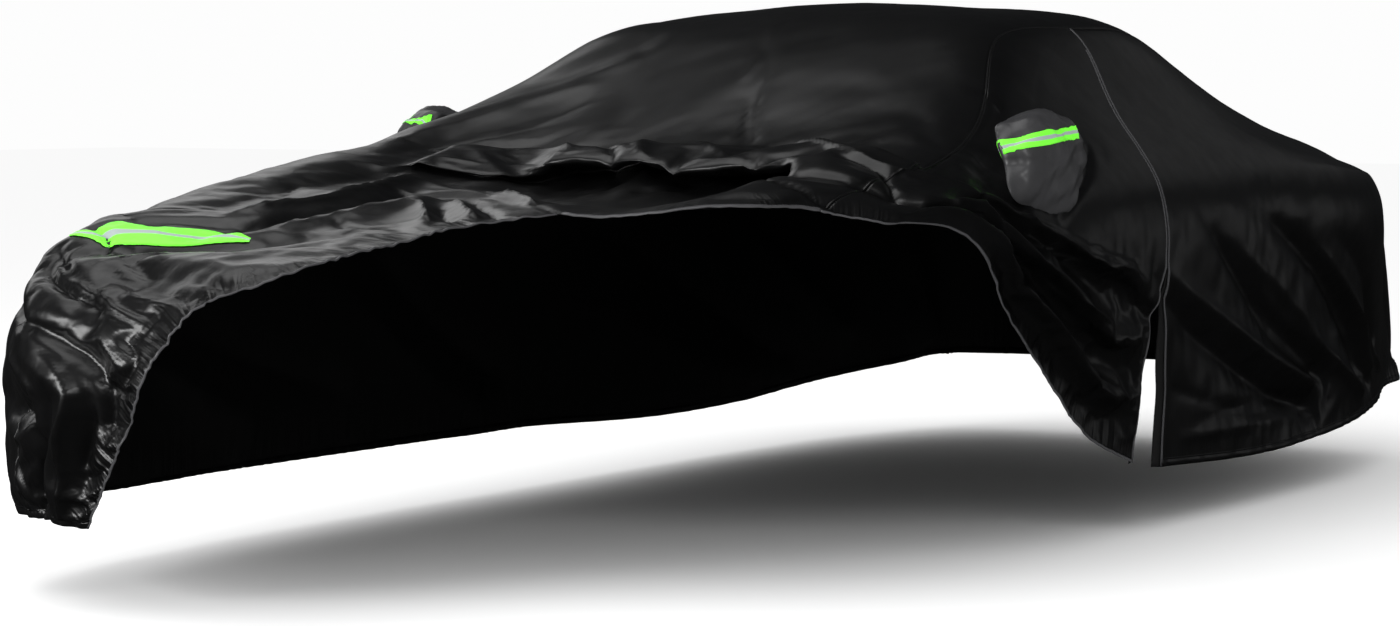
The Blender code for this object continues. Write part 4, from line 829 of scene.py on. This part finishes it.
# %% [markdown]
# ## From a grid to a panel
# A panel starts as one layer of faces with UVs in metres of cloth. It becomes a piece of cloth only with
# its thickness, which Solidify adds inwards, with the duller uncoated side as its own material.

# %% Sheets, thickness and what they stand for
CLOTH = 1.5 * MM  # the real cloth is thinner still, but then its edges would vanish in the render
cover = bpy.data.collections.new("cover")
bpy.context.scene.collection.children.link(cover)


def new_piece(name, mesh, *finishes):
    """An object in the cover's collection that goes with the one body."""
    piece = bpy.data.objects.new(name, mesh)
    cover.objects.link(piece)
    for finish in finishes:
        mesh.materials.append(finish)
    mesh.shade_smooth()
    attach(piece, "root")
    return piece


def sheet_mesh(name, grid, closed=False):
    """A mesh of one face a cell, leaving out cells with a NaN corner, with UVs in metres."""
    grid = np.concatenate([grid, grid[:, :1]], axis=1) if closed else grid
    rows, width = grid.shape[:2]
    filled = np.nan_to_num(grid)
    across = np.zeros((rows, width))
    across[:, 1:] = np.cumsum(np.linalg.norm(np.diff(filled, axis=1), axis=2), axis=1)
    down = np.zeros((rows, width))
    down[1:] = np.cumsum(np.linalg.norm(np.diff(filled, axis=0), axis=2), axis=0)
    number = np.arange(rows * width).reshape(rows, width)
    corners = np.stack([number[:-1, :-1], number[:-1, 1:], number[1:, 1:], number[1:, :-1]], axis=-1)
    corners = corners.reshape(-1, 4)
    whole = np.isfinite(grid[..., 0].ravel()[corners]).all(axis=1)
    mesh = bpy.data.meshes.new(name)
    mesh.from_pydata(in_frame(filled.reshape(-1, 3)), [], corners[whole])
    loops = np.empty(len(mesh.loops), int)
    mesh.loops.foreach_get("vertex_index", loops)
    shares = np.meshgrid(np.linspace(0, 1, width), np.linspace(0, 1, rows))
    for uv_name, pair in (("metres", (across, down)), ("shares", shares)):
        uv = mesh.uv_layers.new(name=uv_name)
        uv.data.foreach_set("uv", np.dstack(pair).reshape(-1, 2)[loops].ravel())
    work = bmesh.new()
    work.from_mesh(mesh)
    bmesh.ops.delete(work, geom=[v for v in work.verts if not v.link_faces], context="VERTS")
    bmesh.ops.remove_doubles(work, verts=work.verts, dist=0.0001)
    work.to_mesh(mesh)
    work.free()
    return mesh


def coordinates(mesh):
    """A mesh's points as an array."""
    points = np.empty(len(mesh.vertices) * 3, np.float32)
    mesh.vertices.foreach_get("co", points)
    return points.reshape(-1, 3).astype(float)


def move_to(mesh, points):
    """Puts a mesh's points where an array says."""
    mesh.vertices.foreach_set("co", np.asarray(points, np.float32).ravel())
    mesh.update()


def thicken(piece, thickness=CLOTH, inside=1):
    """Gives a layer its thickness, inwards, with another material on the inner side."""
    solid = piece.modifiers.new("thickness", "SOLIDIFY")
    solid.thickness = thickness
    solid.offset = -1
    solid.material_offset = inside
    return solid


# %% Four bare panels
panels = {}
for name, grid in (("top_panel", top), ("side_left_front", left_front),
                   ("side_left_rear", left_rear), ("side_right", right)):
    panels[name] = new_piece("cloth_" + name, sheet_mesh(name, grid), black_taffeta, black_inside)
    print(name, "faces:", len(panels[name].data.polygons))

# %% Tell each panel's finish where it is crumpled, and where its hem is
def note(mesh, name, values):
    """Stores a number or a vector for each vertex, for the finish to read."""
    values = np.asarray(values, np.float32)
    kind, field = ("FLOAT", "value") if values.ndim == 1 else ("FLOAT_VECTOR", "vector")
    mesh.attributes.new(name, kind, "POINT").data.foreach_set(field, values.ravel())


for panel in panels.values():
    points = coordinates(panel.data) - in_frame((0, 0, 0))
    metres, closeness, _ = along_hems(points)
    note(panel.data, "creased", creased(points))
    note(panel.data, "hem", np.column_stack([metres, closeness, 0 * metres]))
print("noted on", len(panels), "panels")

# %% [markdown]
# ## Mirror pockets
# Each pocket is sewn of lighter cloth round a hole in its panel and stands out like a small stuffed
# cushion. Its rings run from the seam through a short neck to the tip. A spline through the rings makes it
# smooth, and the same facets as on the panels, only smaller, crumple it.

# %% Rings of a pocket
POCKET_SEAM = [(8.05, 1.66), (0.28, 0.24)]  # centre and half sizes in station and girth
POCKET_RINGS = [
    # x,    s,     z,     half length, half height, tilt
    (0.935, 1.945, 0.962, 0.121, 0.112, 0.50),
    (0.965, 1.938, 0.964, 0.120, 0.122, 0.24),
    (0.992, 1.932, 0.965, 0.100, 0.110, 0.08),
    (1.010, 1.928, 0.966, 0.056, 0.063, 0.00),
]
POCKET_NECK = [(0.25, 12), (0.55, 14)]  # rings of the neck: share of the way to the first ring, bulge in mm
POCKET_SQUARE = 2.5  # 2 is an ellipse, more is boxier
POCKET_LEAN = 0.12  # the rings face outwards and this much forwards
POCKET_ROOT, POCKET_LIP = -0.010, 0.006  # the pocket's edge below the panel, and its upstand above the seam
POCKET_CLEAR = 0.008  # the least height of the pocket over the panel
POCKET_SHIFT = {1: 0.0, -1: -0.025}  # the right pocket is drawn in with its panel
POCKET_FACETS = 1.7  # the facets are this many times as small as on the panels
POCKET_CRUMPLE = 1.25  # and their height, against the panels'
POCKET_SAG = {1: 0.085, -1: 0.0}  # how far the slack cloth below hangs forward
POCKET_FORE = {1: 0.05, -1: 0.0}  # and how much further the front bulges than on the solids
POCKET_SPOKES = [(5, 2.8, 0.4), (9, 2.2, 2.1), (14, 1.4, 4.0)]  # creases around, height in mm, start
SEAM_CALM = 1, 1.5  # the ring where the crumples start, and in how many rings they reach their height
TIP_CALM = 6.3, 2.5  # the ring where the creases end, and in how many rings they die away
POCKET_AROUND, POCKET_ALONG = 120, 56  # points in a ring, and rings


def squared(around):
    """Unit points of a rounded square, counted from the rear through the top."""
    angles = np.linspace(0, 2 * np.pi, around, endpoint=False)
    circle = np.column_stack([np.cos(angles), np.sin(angles)])
    return np.sign(circle) * np.abs(circle) ** (2 / POCKET_SQUARE)


def pocket_seam(side):
    """The seam of a pocket with its panel, on the left (side 1) or the right (side -1), and its normals."""
    centre, half = np.array(POCKET_SEAM)
    places = (centre + half * squared(POCKET_AROUND) * [1, -1]) * [1, side]
    return draped(places[None])[0], outward(places)


def stand_clear(points, side):
    """Pushes a pocket's points out to at least POCKET_CLEAR above the panel."""
    centre = np.array(POCKET_SEAM[0]) * [1, side]
    steps = np.linspace(-0.8, 0.8, 61)
    places = centre + np.dstack(np.meshgrid(steps, steps)).reshape(-1, 2)
    surface, normals = draped(places[None])[0], outward(places)
    nearest = np.linalg.norm(points[:, None] - surface[None], axis=2).argmin(axis=1)
    height = np.sum((points - surface[nearest]) * normals[nearest], axis=1, keepdims=True)
    return points + normals[nearest] * np.maximum(POCKET_CLEAR - height, 0)


def crumpled_pocket(rings, steps, side):
    """Facets all over a pocket, and creases that run from its seam towards its tip."""
    away = rings - rings.mean(axis=(0, 1)) + [side * 0.03, 0, 0]
    away /= np.linalg.norm(away, axis=2, keepdims=True)
    small = facets(rings.reshape(-1, 3) * POCKET_FACETS).reshape(rings.shape[:2]) * POCKET_CRUMPLE
    turn = np.linspace(0, 2 * np.pi, POCKET_AROUND, endpoint=False)
    spokes = sum(height * MM * np.cos(count * turn + start) for count, height, start in POCKET_SPOKES)
    from_seam = np.clip((steps - SEAM_CALM[0]) / SEAM_CALM[1], 0, 1)[:, None]
    spokes = spokes * np.clip((TIP_CALM[0] - steps) / TIP_CALM[1], 0, 1)[:, None]
    return rings + away * ((small + spokes) * from_seam)[..., None]


def pocket_grid(side):
    """A pocket's rings from its edge below the panel, through the seam, to the middle of its tip."""
    seam, normals = pocket_seam(side)
    shape = squared(POCKET_AROUND)
    rings = []
    for x, s, z, length, height, tilt in POCKET_RINGS:
        back, up = (shape * [length, height]).T
        across = side * (x + POCKET_SHIFT[side] + POCKET_LEAN * back - tilt * up)
        low = np.maximum(-up / height, 0)
        ahead = s + back - POCKET_SAG[side] * low * (0.65 - 0.35 * back / length)
        ahead -= POCKET_FORE[side] * np.maximum(-back / length, 0)
        rings.append(stand_clear(np.column_stack([across, ahead, z + up]), side))
    neck = [stand_clear(seam * (1 - share) + rings[0] * share + normals * bulge * MM, side)
            for share, bulge in POCKET_NECK]
    tip = np.repeat(rings[-1].mean(axis=0, keepdims=True) + [side * 0.003, 0, 0], POCKET_AROUND, axis=0)
    coarse = np.array([seam + normals * POCKET_ROOT, seam + normals * POCKET_LIP, *neck, *rings, tip])
    steps = np.linspace(0, len(coarse) - 1, POCKET_ALONG)
    fine = np.einsum("ab,bcd->acd", spline_weights(np.arange(len(coarse)), steps), coarse)
    fine = crumpled_pocket(fine, steps, side)
    return fine if side > 0 else fine[:, ::-1]


pockets = {}
for side, word in ((1, "left"), (-1, "right")):
    grid = pocket_grid(side)
    pocket = new_piece("pocket_" + word, sheet_mesh("pocket_" + word, grid, closed=True),
                       charcoal_taffeta, black_inside)
    note(pocket.data, "creased", np.full(len(pocket.data.vertices), 0.6))
    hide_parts("mirror_pocket_" + word)
    pockets[side] = pocket
    print(pocket.name, "faces:", len(pocket.data.polygons))

# %% Cut the holes behind the pockets
HOLE_DEPTH = 0.08  # no cloth further than this from the seam's plane is cut


def cut_hole(mesh, side):
    """Takes the faces inside a pocket's seam away, and pulls the rim of the hole onto the seam."""
    ring = pocket_seam(side)[0] + in_frame((0, 0, 0))
    middle = ring.mean(axis=0)
    up, back, out = np.linalg.svd(ring - middle)[2]
    radius = np.hypot((ring - middle) @ up, (ring - middle) @ back)
    angle = np.arctan2((ring - middle) @ back, (ring - middle) @ up)
    points = coordinates(mesh)
    flat_up, flat_back, height = ((points - middle) @ axis for axis in (up, back, out))
    outline = np.array(sorted(zip(angle, radius))).T
    reach = np.interp(np.arctan2(flat_back, flat_up), *outline, period=2 * np.pi)
    share = np.hypot(flat_up, flat_back) / reach
    inside = (share < 1) & (np.abs(height) < HOLE_DEPTH)
    work = bmesh.new()
    work.from_mesh(mesh)
    gone = [face for face in work.faces if all(inside[corner.index] for corner in face.verts)]
    rim = {corner.index for face in gone for corner in face.verts
           if not all(inside[v.index] for near in corner.link_faces for v in near.verts)}
    for corner in work.verts:
        if corner.index in rim:
            away = (corner.co - Vector(middle)) / share[corner.index]
            corner.co = Vector(middle) + away
    bmesh.ops.delete(work, geom=gone, context="FACES")
    work.to_mesh(mesh)
    work.free()
    return len(gone)


for side, node in ((1, "side_left_front"), (-1, "side_right")):
    print(node, "faces cut away behind its pocket:", cut_hole(panels[node].data, side))

# %% [markdown]
# ## Let the cloth buckle
# Placed folds are too smooth for cloth that was handled. Blender's cloth simulation makes the top panel and
# the two left panels grow by a few per cent where they are crumpled, while their edges stay sewn in place and
# springs keep the rest near their folds. The right panel is left as placed. The cloth has nowhere to go, so
# it buckles. Then its points are written back and the modifier goes.

# %% Grow the cloth where it is crumpled
BUCKLE = [
    # panel             growth frames hold  bending
    ("top_panel",       0.055, 14,    0.08, 2.5),
    ("side_left_front", 0.035, 14,    0.10, 1.5),
    ("side_left_rear",  0.03,  10,    0.10, 2.5),
]
BUCKLE_LIMIT = 26 * MM  # no point moves further than this
BUCKLE_FROM = 0.3  # cloth that is crumpled less than this keeps its size


def buckle(panel, growth, frames, hold, bending):
    """Simulates a panel that grows in its own edges, and returns its points before and how they moved."""
    before = coordinates(panel.data)
    share = np.clip((creased(before - in_frame((0, 0, 0))) - BUCKLE_FROM) / (1 - BUCKLE_FROM), 0, 1)
    work = bmesh.new()
    work.from_mesh(panel.data)
    rim = [v.index for v in work.verts if v.is_boundary]
    work.free()
    pins, calm = panel.vertex_groups.new(name="pins"), panel.vertex_groups.new(name="calm")
    pins.add(range(len(before)), hold, "REPLACE")
    pins.add(rim, 1.0, "REPLACE")
    for level in np.unique(share.round(1)):
        calm.add(np.flatnonzero(share.round(1) == level).tolist(), 1 - float(level), "REPLACE")
    cloth = panel.modifiers.new("cloth", "CLOTH")
    settings = cloth.settings
    settings.quality = 5
    settings.mass = 0.15
    settings.tension_stiffness = settings.compression_stiffness = 40
    settings.shear_stiffness = 20
    settings.bending_stiffness = bending
    settings.air_damping = 2
    settings.effector_weights.gravity = 0  # the folds already hang
    settings.vertex_group_mass = "pins"
    settings.pin_stiffness = 1
    settings.shrink_max = 0  # a calm place keeps its size
    settings.shrink_min = -growth  # a crumpled one grows
    settings.vertex_group_shrink = "calm"
    cloth.collision_settings.use_collision = False
    cloth.point_cache.frame_end = frames
    for frame_number in range(1, frames + 1):
        bpy.context.scene.frame_set(frame_number)
    grown = panel.evaluated_get(bpy.context.evaluated_depsgraph_get()).to_mesh()
    moved = coordinates(grown) - before
    panel.modifiers.clear()
    panel.vertex_groups.clear()
    distance = np.linalg.norm(moved, axis=1, keepdims=True)
    moved *= np.minimum(1, BUCKLE_LIMIT / np.maximum(distance, 1e-9))
    move_to(panel.data, before + moved)
    bpy.context.scene.frame_set(1)
    return before, moved


settled = {}
for name, *numbers in BUCKLE:
    settled[name] = buckle(panels[name], *numbers)
    distance = np.linalg.norm(settled[name][1], axis=1) / MM
    print(name, "moved %.1f mm on average, %.1f at most" % (distance.mean(), distance.max()))

# %% Give the panels their thickness
for panel in panels.values():
    thicken(panel)
print("cloth %.1f mm thick" % (CLOTH / MM))

# %% [markdown]
# ## Hems and seams
# Along the front the edge has a narrow binding, wider where it is bunched. Round the bottom it is a casing
# 2 cm wide with elastic in it. At the roof the panels are joined by a lapped seam. Each is one small
# cross-section that is carried along the panel's edge and lies on the panel's own outer lines of points.

# %% Bands along the edges
FRONT_BAND, BUNCH_BAND = 6.5, 15  # mm wide: the binding along the front edges, and where they are bunched
CASING, SEAM_BAND = 22, 8  # the casing round the bottom, and the lapped seams
BAND_LINES = 6  # lines of the panel that a band may lie over
CORE_REACH, CORE_HEIGHT = (0.8, 4.0), 0.6  # a line along the inside of the cover, from which out is away
BAND = [
    # share of the width from the edge, height over the cloth in mm
    (1.00, -0.3), (0.97, 0.9), (0.84, 1.1), (0.78, 0.1), (0.72, 1.1), (0.35, 1.5), (0.08, 1.2), (-0.03, 0.2),
    (-0.03, -1.5), (0.05, -2.6), (0.95, -2.4),
]


def unit(vectors):
    """Vectors made one long."""
    return vectors / np.maximum(np.linalg.norm(vectors, axis=-1, keepdims=True), 1e-9)


def rounded_off(vectors, times=3):
    """Evens out directions along an edge, so that a band turns smoothly."""
    for _ in range(times):
        even = vectors[:-2] + vectors[1:-1] + vectors[2:]
        vectors = unit(np.concatenate([vectors[:1], even, vectors[-1:]]))
    return vectors


def band_grid(lines, width):
    """A closed band over the outermost lines of a panel; lines[0] is the edge."""
    edge = lines[0]
    steps = np.linalg.norm(np.diff(lines, axis=0), axis=2)
    depth = np.vstack([np.zeros(len(edge)), np.cumsum(steps, axis=0)])
    along = rounded_off(unit(np.gradient(edge, axis=0)))
    back = rounded_off(unit(lines[1] - edge))
    core = np.column_stack([0 * edge[:, 0], np.clip(edge[:, 1], *CORE_REACH), 0 * edge[:, 0] + CORE_HEIGHT])
    out = np.cross(along, back)
    out = rounded_off(unit(out * np.sign(np.sum(out * (edge - core), axis=1, keepdims=True))))
    rings = []
    for share, height in BAND:
        reach = max(share, 0) * width * MM
        ring = np.array([[np.interp(reach, depth[:, i], lines[:, i, axis]) for axis in range(3)]
                         for i in range(len(edge))])
        rings.append(ring + back * min(share, 0) * width * MM + out * height * MM)
    grid = np.stack(rings, axis=1)
    first, last = (np.repeat(end.mean(axis=0, keepdims=True), len(BAND), axis=0)[None]
                   for end in (grid[0], grid[-1]))
    return np.concatenate([first, grid, last])


def lines_from(grid, edge):
    """The lines of a grid from one of its edges inwards."""
    turned = {"first_row": grid, "last_row": grid[::-1],
              "first_column": grid.swapaxes(0, 1), "last_column": grid.swapaxes(0, 1)[::-1]}[edge]
    return turned[:BAND_LINES]


def as_settled(lines, panel):
    """Moves lines of a panel's grid the way the simulation moved that panel."""
    if panel not in settled:
        return lines
    before, moved = settled[panel]
    tree = KDTree(len(before))
    for number, point in enumerate(before):
        tree.insert(point, number)
    tree.balance()
    shifts = []
    for point in in_frame(lines.reshape(-1, 3)):
        near = tree.find_n(point, 4)
        weights = np.array([1 / (away + 0.001) ** 2 for _, _, away in near])
        shifts.append(weights @ moved[[number for _, number, _ in near]] / weights.sum())
    return lines + np.reshape(shifts, lines.shape)


corner_column = int(np.searchsorted(TOP_COLUMNS, HEM_CORNER))
front_count = len(FRONT_ROWS) - 1
nose_side = lines_from(top[:front_count, : corner_column + 1], "last_column")
bunch_side = lines_from(top[front_count:, corner_column:], "first_row")
zip_foot = len(BUNCH_ROWS)  # rows of the left front panel below the shut zip
ZIP_TOP_ROWS = 8  # rows at the zip's top, where they close in on one point
BANDS = [
    # name            panel               lines of the panel                                      width
    ("front_hem",     "top_panel",       [nose_side],                                             FRONT_BAND),
    ("bunch_hem",     "top_panel",       [bunch_side],                                            BUNCH_BAND),
    ("side_hem",      "side_left_front", [lines_from(left_front, "first_row")],                   FRONT_BAND),
    ("nose_hem",      "top_panel",       [lines_from(top[:, : corner_column + 1], "first_row")],  CASING),
    ("tail_hem",      "top_panel",       [lines_from(top, "last_row")],                           CASING),
    ("right_hem",     "side_right",      [lines_from(right, "first_row")[:, ::-1],
                                          lines_from(right, "first_column"),
                                          lines_from(right, "last_row")],                         CASING),
    ("left_hem",      "side_left_rear",  [lines_from(left_rear, "last_column"),
                                          lines_from(left_rear, "last_row")[:, ::-1]],            CASING),
    ("roof_seam",     "top_panel",       [lines_from(top[front_count:], "last_column")],          SEAM_BAND),
    ("right_seam",    "top_panel",       [lines_from(top, "first_column")],                       SEAM_BAND),
    ("slit_hem",      "side_left_rear",  [lines_from(left_rear, "first_row")],                    FRONT_BAND),
    ("zip_hem",       "side_left_front", [lines_from(left_front[:-ZIP_TOP_ROWS], "last_column")], FRONT_BAND),
]
binding = taffeta("black_polyester_binding", "#353537", "#48484a", 0.42, crumple=0.1)
bands = {name: [] for name in panels}
for name, panel, lines, width in BANDS:
    lines = as_settled(np.concatenate(lines, axis=1), panel)
    band = new_piece(name, sheet_mesh(name, band_grid(lines, width), closed=True),
                     binding if width in (FRONT_BAND, BUNCH_BAND) else black_taffeta)
    bands[panel].append(band)
    print(name, "%d faces" % len(band.data.polygons))

# %% [markdown]
# ## Zip
# The zip is shut above the belt line and open below it. Its two woven tapes lie under the panels' edges.
# Where it is shut, a coil of black plastic bridges the gap, and where it is open, a finer coil runs along
# each tape.

# %% Zip tapes
ZIP_TAPE = 14 * MM  # how far a tape reaches back under its panel
TAPE_OPEN = 20 * MM  # and out of it where the zip is open
TAPE_THICK = 1.0 * MM
TAPE_BELOW = CLOTH + 3 * MM  # how deep a tape lies under the cloth's outside
TAPE_FLARE = 12 * MM  # how much deeper its free edge lies where the zip is open
OPENING_ROWS = 60  # rows of the panel over which the zip opens fully
OPENING_GIRTH = 0.25  # and the same on the rear panel


def zip_tape_grid(edge, inner, opening):
    """A tape from below a panel's edge out past it. Opening is 0 shut, 1 open."""
    back = rounded_off(unit(inner - edge))
    normal = unit(np.cross(unit(np.gradient(edge, axis=0)), back))
    normal *= np.sign(normal[:, :1])
    out = ((ZIP_GAP / 2 - 0.0006) * (1 - opening) + TAPE_OPEN * opening)[:, None]
    rows = [edge + back * ZIP_TAPE - normal * TAPE_BELOW, edge - normal * TAPE_BELOW]
    for share in (0.5, 1):
        rows.append(edge - back * out * share - normal * (TAPE_BELOW + TAPE_FLARE * share * opening[:, None]))
    return np.array(rows)


def tape_finish():
    """Woven tape, with its ribs across."""
    made, tree = new_material("woven_zip_tape")
    threads = add(tree, "ShaderNodeUVMap", {"uv_map": "metres"})
    ribs = add(tree, "ShaderNodeTexWave", {"bands_direction": "X"}, Vector=threads.outputs[0], Scale=40.0)
    bump = add(tree, "ShaderNodeBump", Strength=0.3, Distance=0.0004, Height=ribs.outputs["Fac"])
    shader = add(tree, "ShaderNodeBsdfPrincipled", Base_Color=linear("#121212"), Roughness=0.8,
                 Normal=bump.outputs[0])
    add(tree, "ShaderNodeOutputMaterial", Surface=shader.outputs[0])
    return made


tape_weave = tape_finish()
open_front = np.clip((zip_foot - 1 - np.arange(len(left_front) - 1)) / OPENING_ROWS, 0, 1)
open_rear = np.clip((np.linspace(1, HEM, left_rear.shape[1]) - ZIP_FOOT) / OPENING_GIRTH, 0, 1)
tape_grids = {
    "zip_tape_front": zip_tape_grid(left_front[:-1, -1], left_front[:-1, -2], open_front),
    "zip_tape_rear": zip_tape_grid(left_rear[0], left_rear[1], open_rear)[::-1],
}
for node, grid in tape_grids.items():
    zip_tape = new_piece(node + "_cloth", sheet_mesh(node, grid), tape_weave)
    thicken(zip_tape, TAPE_THICK, inside=0)
    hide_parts(node)
    print(zip_tape.name, "faces:", len(zip_tape.data.polygons))

# %% Zip coils
COIL_PITCH = 2.4 * MM
COIL_AROUND = 8  # points to a turn
COIL_WIRE = 0.45 * MM
SHUT_COIL = 2.6 * MM, 1.1 * MM  # half width and half height
OPEN_COIL = 1.4 * MM, 1.0 * MM
COIL_FREE_ROWS = 12  # rows below the zip's foot that the open coil leaves out


def coil_grid(line, normals, across, high):
    """A flattened helix of wire along a line."""
    lengths = np.concatenate([[0], np.cumsum(np.linalg.norm(np.diff(line, axis=0), axis=1))])
    count = int(lengths[-1] / COIL_PITCH) * COIL_AROUND
    at = np.linspace(0, lengths[-1], count)
    middle = np.column_stack([np.interp(at, lengths, line[:, axis]) for axis in range(3)])
    up = unit(np.column_stack([np.interp(at, lengths, normals[:, axis]) for axis in range(3)]))
    side = unit(np.cross(np.gradient(middle, axis=0), up))
    turn = np.arange(count)[:, None] * 2 * np.pi / COIL_AROUND
    wire = middle + side * np.cos(turn) * across + up * np.sin(turn) * high
    ahead = unit(np.gradient(wire, axis=0))
    first = unit(np.cross(ahead, up + side * 0.3))
    second = np.cross(ahead, first)
    return np.stack([wire + first * COIL_WIRE, wire + second * COIL_WIRE,
                     wire - first * COIL_WIRE, wire - second * COIL_WIRE], axis=1)


nylon, tree = new_material("black_nylon_coil")
shader = add(tree, "ShaderNodeBsdfPrincipled", Base_Color=linear("#1a1a1b"), Roughness=0.28)
add(tree, "ShaderNodeOutputMaterial", Surface=shader.outputs[0])
shut_places = np.column_stack([np.full(200, 10.0), np.linspace(1.02, ZIP_FOOT, 200)])
shut_normals = outward(shut_places)
shut_line = draped(shut_places[None])[0] - shut_normals * (CLOTH + 1.0 * MM)
rear_open = np.flatnonzero(open_rear > 0.2)
rear_free = tape_grids["zip_tape_rear"][0][rear_open]
front_free = tape_grids["zip_tape_front"][-1][: zip_foot - COIL_FREE_ROWS]
COILS = [
    # name             panel              line        normals                              size
    ("zip_coil_shut",  "side_left_rear",  shut_line,  shut_normals,                        SHUT_COIL),
    ("zip_coil_rear",  "side_left_rear",  rear_free,  np.full_like(rear_free, [1, 0, 0]),  OPEN_COIL),
    ("zip_coil_front", "side_left_front", front_free, np.full_like(front_free, [1, 0, 0]), OPEN_COIL),
]
for name, panel, line, normals, size in COILS:
    coil = new_piece(name, sheet_mesh(name, coil_grid(line, normals, *size), closed=True), nylon)
    bands[panel].append(coil)
    print(name, "faces:", len(coil.data.polygons))

# %% [markdown]
# ## Reflective strips
# The strips are tape with a layer of tiny glass beads: lime, with a silver stripe down the middle. They are
# given a faint painted glow of their own colours, in place of the light such tape sends back to a lamp beside
# the camera. They lie on the cloth and follow all its creases, so they are laid on the same surface.

# %% Lime and silver tape
SILVER = 0.26  # share of the tape's width


def reflective_tape():
    """Lime tape with a silver stripe and a faint painted glow of its colours; the strip's own width runs from
    0 to 1 in its UVs.
    """
    made, tree = new_material("lime_reflective_tape")
    shares = add(tree, "ShaderNodeUVMap", {"uv_map": "shares"})
    split = add(tree, "ShaderNodeSeparateXYZ", Vector=shares.outputs[0])
    away = add(tree, "ShaderNodeMath", {"operation": "SUBTRACT"}, i0=split.outputs[1], i1=0.5)
    away = add(tree, "ShaderNodeMath", {"operation": "ABSOLUTE"}, i0=away.outputs[0])
    silver = add(tree, "ShaderNodeMath", {"operation": "LESS_THAN"}, i0=away.outputs[0], i1=SILVER / 2)
    colour = add(tree, "ShaderNodeMix", {"data_type": "RGBA"}, Factor=silver.outputs[0])
    colour.inputs[6].default_value, colour.inputs[7].default_value = linear("#76ff34"), linear("#9aa6a4")
    place = add(tree, "ShaderNodeTexCoord")
    beads = add(tree, "ShaderNodeTexVoronoi", Vector=place.outputs["Object"], Scale=420.0)
    bump = add(tree, "ShaderNodeBump", Strength=0.15, Distance=0.0004, Height=beads.outputs[0])
    # painted glow: the lime and silver are also emitted faintly, standing in for the light that the beads
    # send back
    shader = add(tree, "ShaderNodeBsdfPrincipled", Base_Color=colour.outputs[2], Roughness=0.42,
                 Normal=bump.outputs[0], Emission_Color=colour.outputs[2], Emission_Strength=0.02)
    add(tree, "ShaderNodeOutputMaterial", Surface=shader.outputs[0])
    return made


lime_tape = reflective_tape()
STRIP_THICK = 0.6 * MM
STRIP_LIFT = 1.0 * MM
FRONT_STRIP = (  # its upper and lower edge
    [(3.48, -1.08), (3.62, -0.94), (3.74, -0.92), (3.87, -0.79), (3.98, -0.65), (4.05, -0.55), (4.03, -0.41)],
    [(3.44, -1.03), (3.50, -0.87), (3.51, -0.80), (3.60, -0.67), (3.73, -0.54), (3.84, -0.48), (3.99, -0.40)],
)
MIRROR_STRIP = [  # x, s, z along its middle, on the left pocket as it is on the solids
    (0.850, 1.880, 0.962), (0.880, 1.848, 0.978), (0.930, 1.826, 0.997),
    (0.985, 1.842, 1.013), (1.010, 1.905, 1.022), (1.004, 1.975, 1.026),
]
MIRROR_STRIP_WIDTH = 0.038
MIRROR_STRIP_START = 0.15  # share of its path where the pocket's neck ends
STRIP_FORE, STRIP_FORE_END = 0.9, 0.6  # how much of the pocket's bulge it follows, and up to which share
MIRROR_STRIP_RAISE = {1: (0, 0), -1: (0.078, 0.045)}  # the right pocket's strip is sewn on higher


def front_strip_grid(along=200, across=15):
    """The strip on the front corner, between its two edges and just above the cloth."""
    upper, lower = (curve_through(edge, np.linspace(0, 1, along)) for edge in FRONT_STRIP)
    share = np.linspace(0, 1, across)[:, None, None]
    return draped(lower[None] * (1 - share) + upper[None] * share, 3 * STRIP_LIFT)


def mirror_strip_grid(side, along=90, across=9):
    """A band over a pocket's front, from the seam round to the tip's rear."""
    share = np.linspace(MIRROR_STRIP_START, 1, along)
    middle = curve_through(MIRROR_STRIP, share)
    fading = np.clip(1 - share / STRIP_FORE_END, 0, 1) ** 0.5
    middle[:, 1] -= POCKET_FORE[side] * STRIP_FORE * fading
    middle[:, 2] += np.interp(share, [0, 1], MIRROR_STRIP_RAISE[side])
    away = middle - POCKET_RINGS[0][:3]
    middle += away / np.linalg.norm(away, axis=1, keepdims=True) * MIRROR_STRIP_WIDTH / 2
    middle[:, 0] = side * (middle[:, 0] + POCKET_SHIFT[side])
    rises = np.linspace(-0.5, 0.5, across) * MIRROR_STRIP_WIDTH
    grid = middle[None] + rises[:, None, None] * [0, 0, 1]
    return grid if side > 0 else grid[:, ::-1]


def wrapped(piece, target, lift):
    """Lays a strip on the piece that it is sewn to."""
    wrap = piece.modifiers.new("wrap", "SHRINKWRAP")
    wrap.target = target
    wrap.wrap_method = "NEAREST_SURFACEPOINT"
    wrap.wrap_mode = "ABOVE_SURFACE"
    wrap.offset = lift


front_grid = as_settled(front_strip_grid(), "top_panel")
strips = {"strip_front_right": new_piece("tape_front_right", sheet_mesh("tape", front_grid), lime_tape)}
wrapped(strips["strip_front_right"], panels["top_panel"], 2 * STRIP_LIFT)
for side, word in ((1, "left"), (-1, "right")):
    strip = new_piece("tape_mirror_" + word, sheet_mesh("tape", mirror_strip_grid(side)), lime_tape)
    wrapped(strip, pockets[side], STRIP_LIFT)
    strips["strip_mirror_" + word] = strip
for node, strip in strips.items():
    thicken(strip, STRIP_THICK, inside=0).offset = 1
    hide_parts(node)
print("strips:", ", ".join(strips))

# %% Panels take the place of their solids
FLAT_SIZES = {
    # name             width, length, flat area in m2
    "top_panel":       (1.9, 6.0, 7.6),
    "side_left_front": (1.2, 1.9, 1.05),
    "side_left_rear":  (1.3, 2.6, 2.4),
    "side_right":      (1.35, 5.4, 4.6),
}


def cloth_area(piece):
    """Square metres of one side of a panel."""
    return sum(face.area for face in piece.data.polygons)


for name, panel in panels.items():
    width, length, area = FLAT_SIZES[name]
    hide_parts(name)
    print(name, "measures %.2f m2, cut from %.2f m2" % (cloth_area(panel), area))
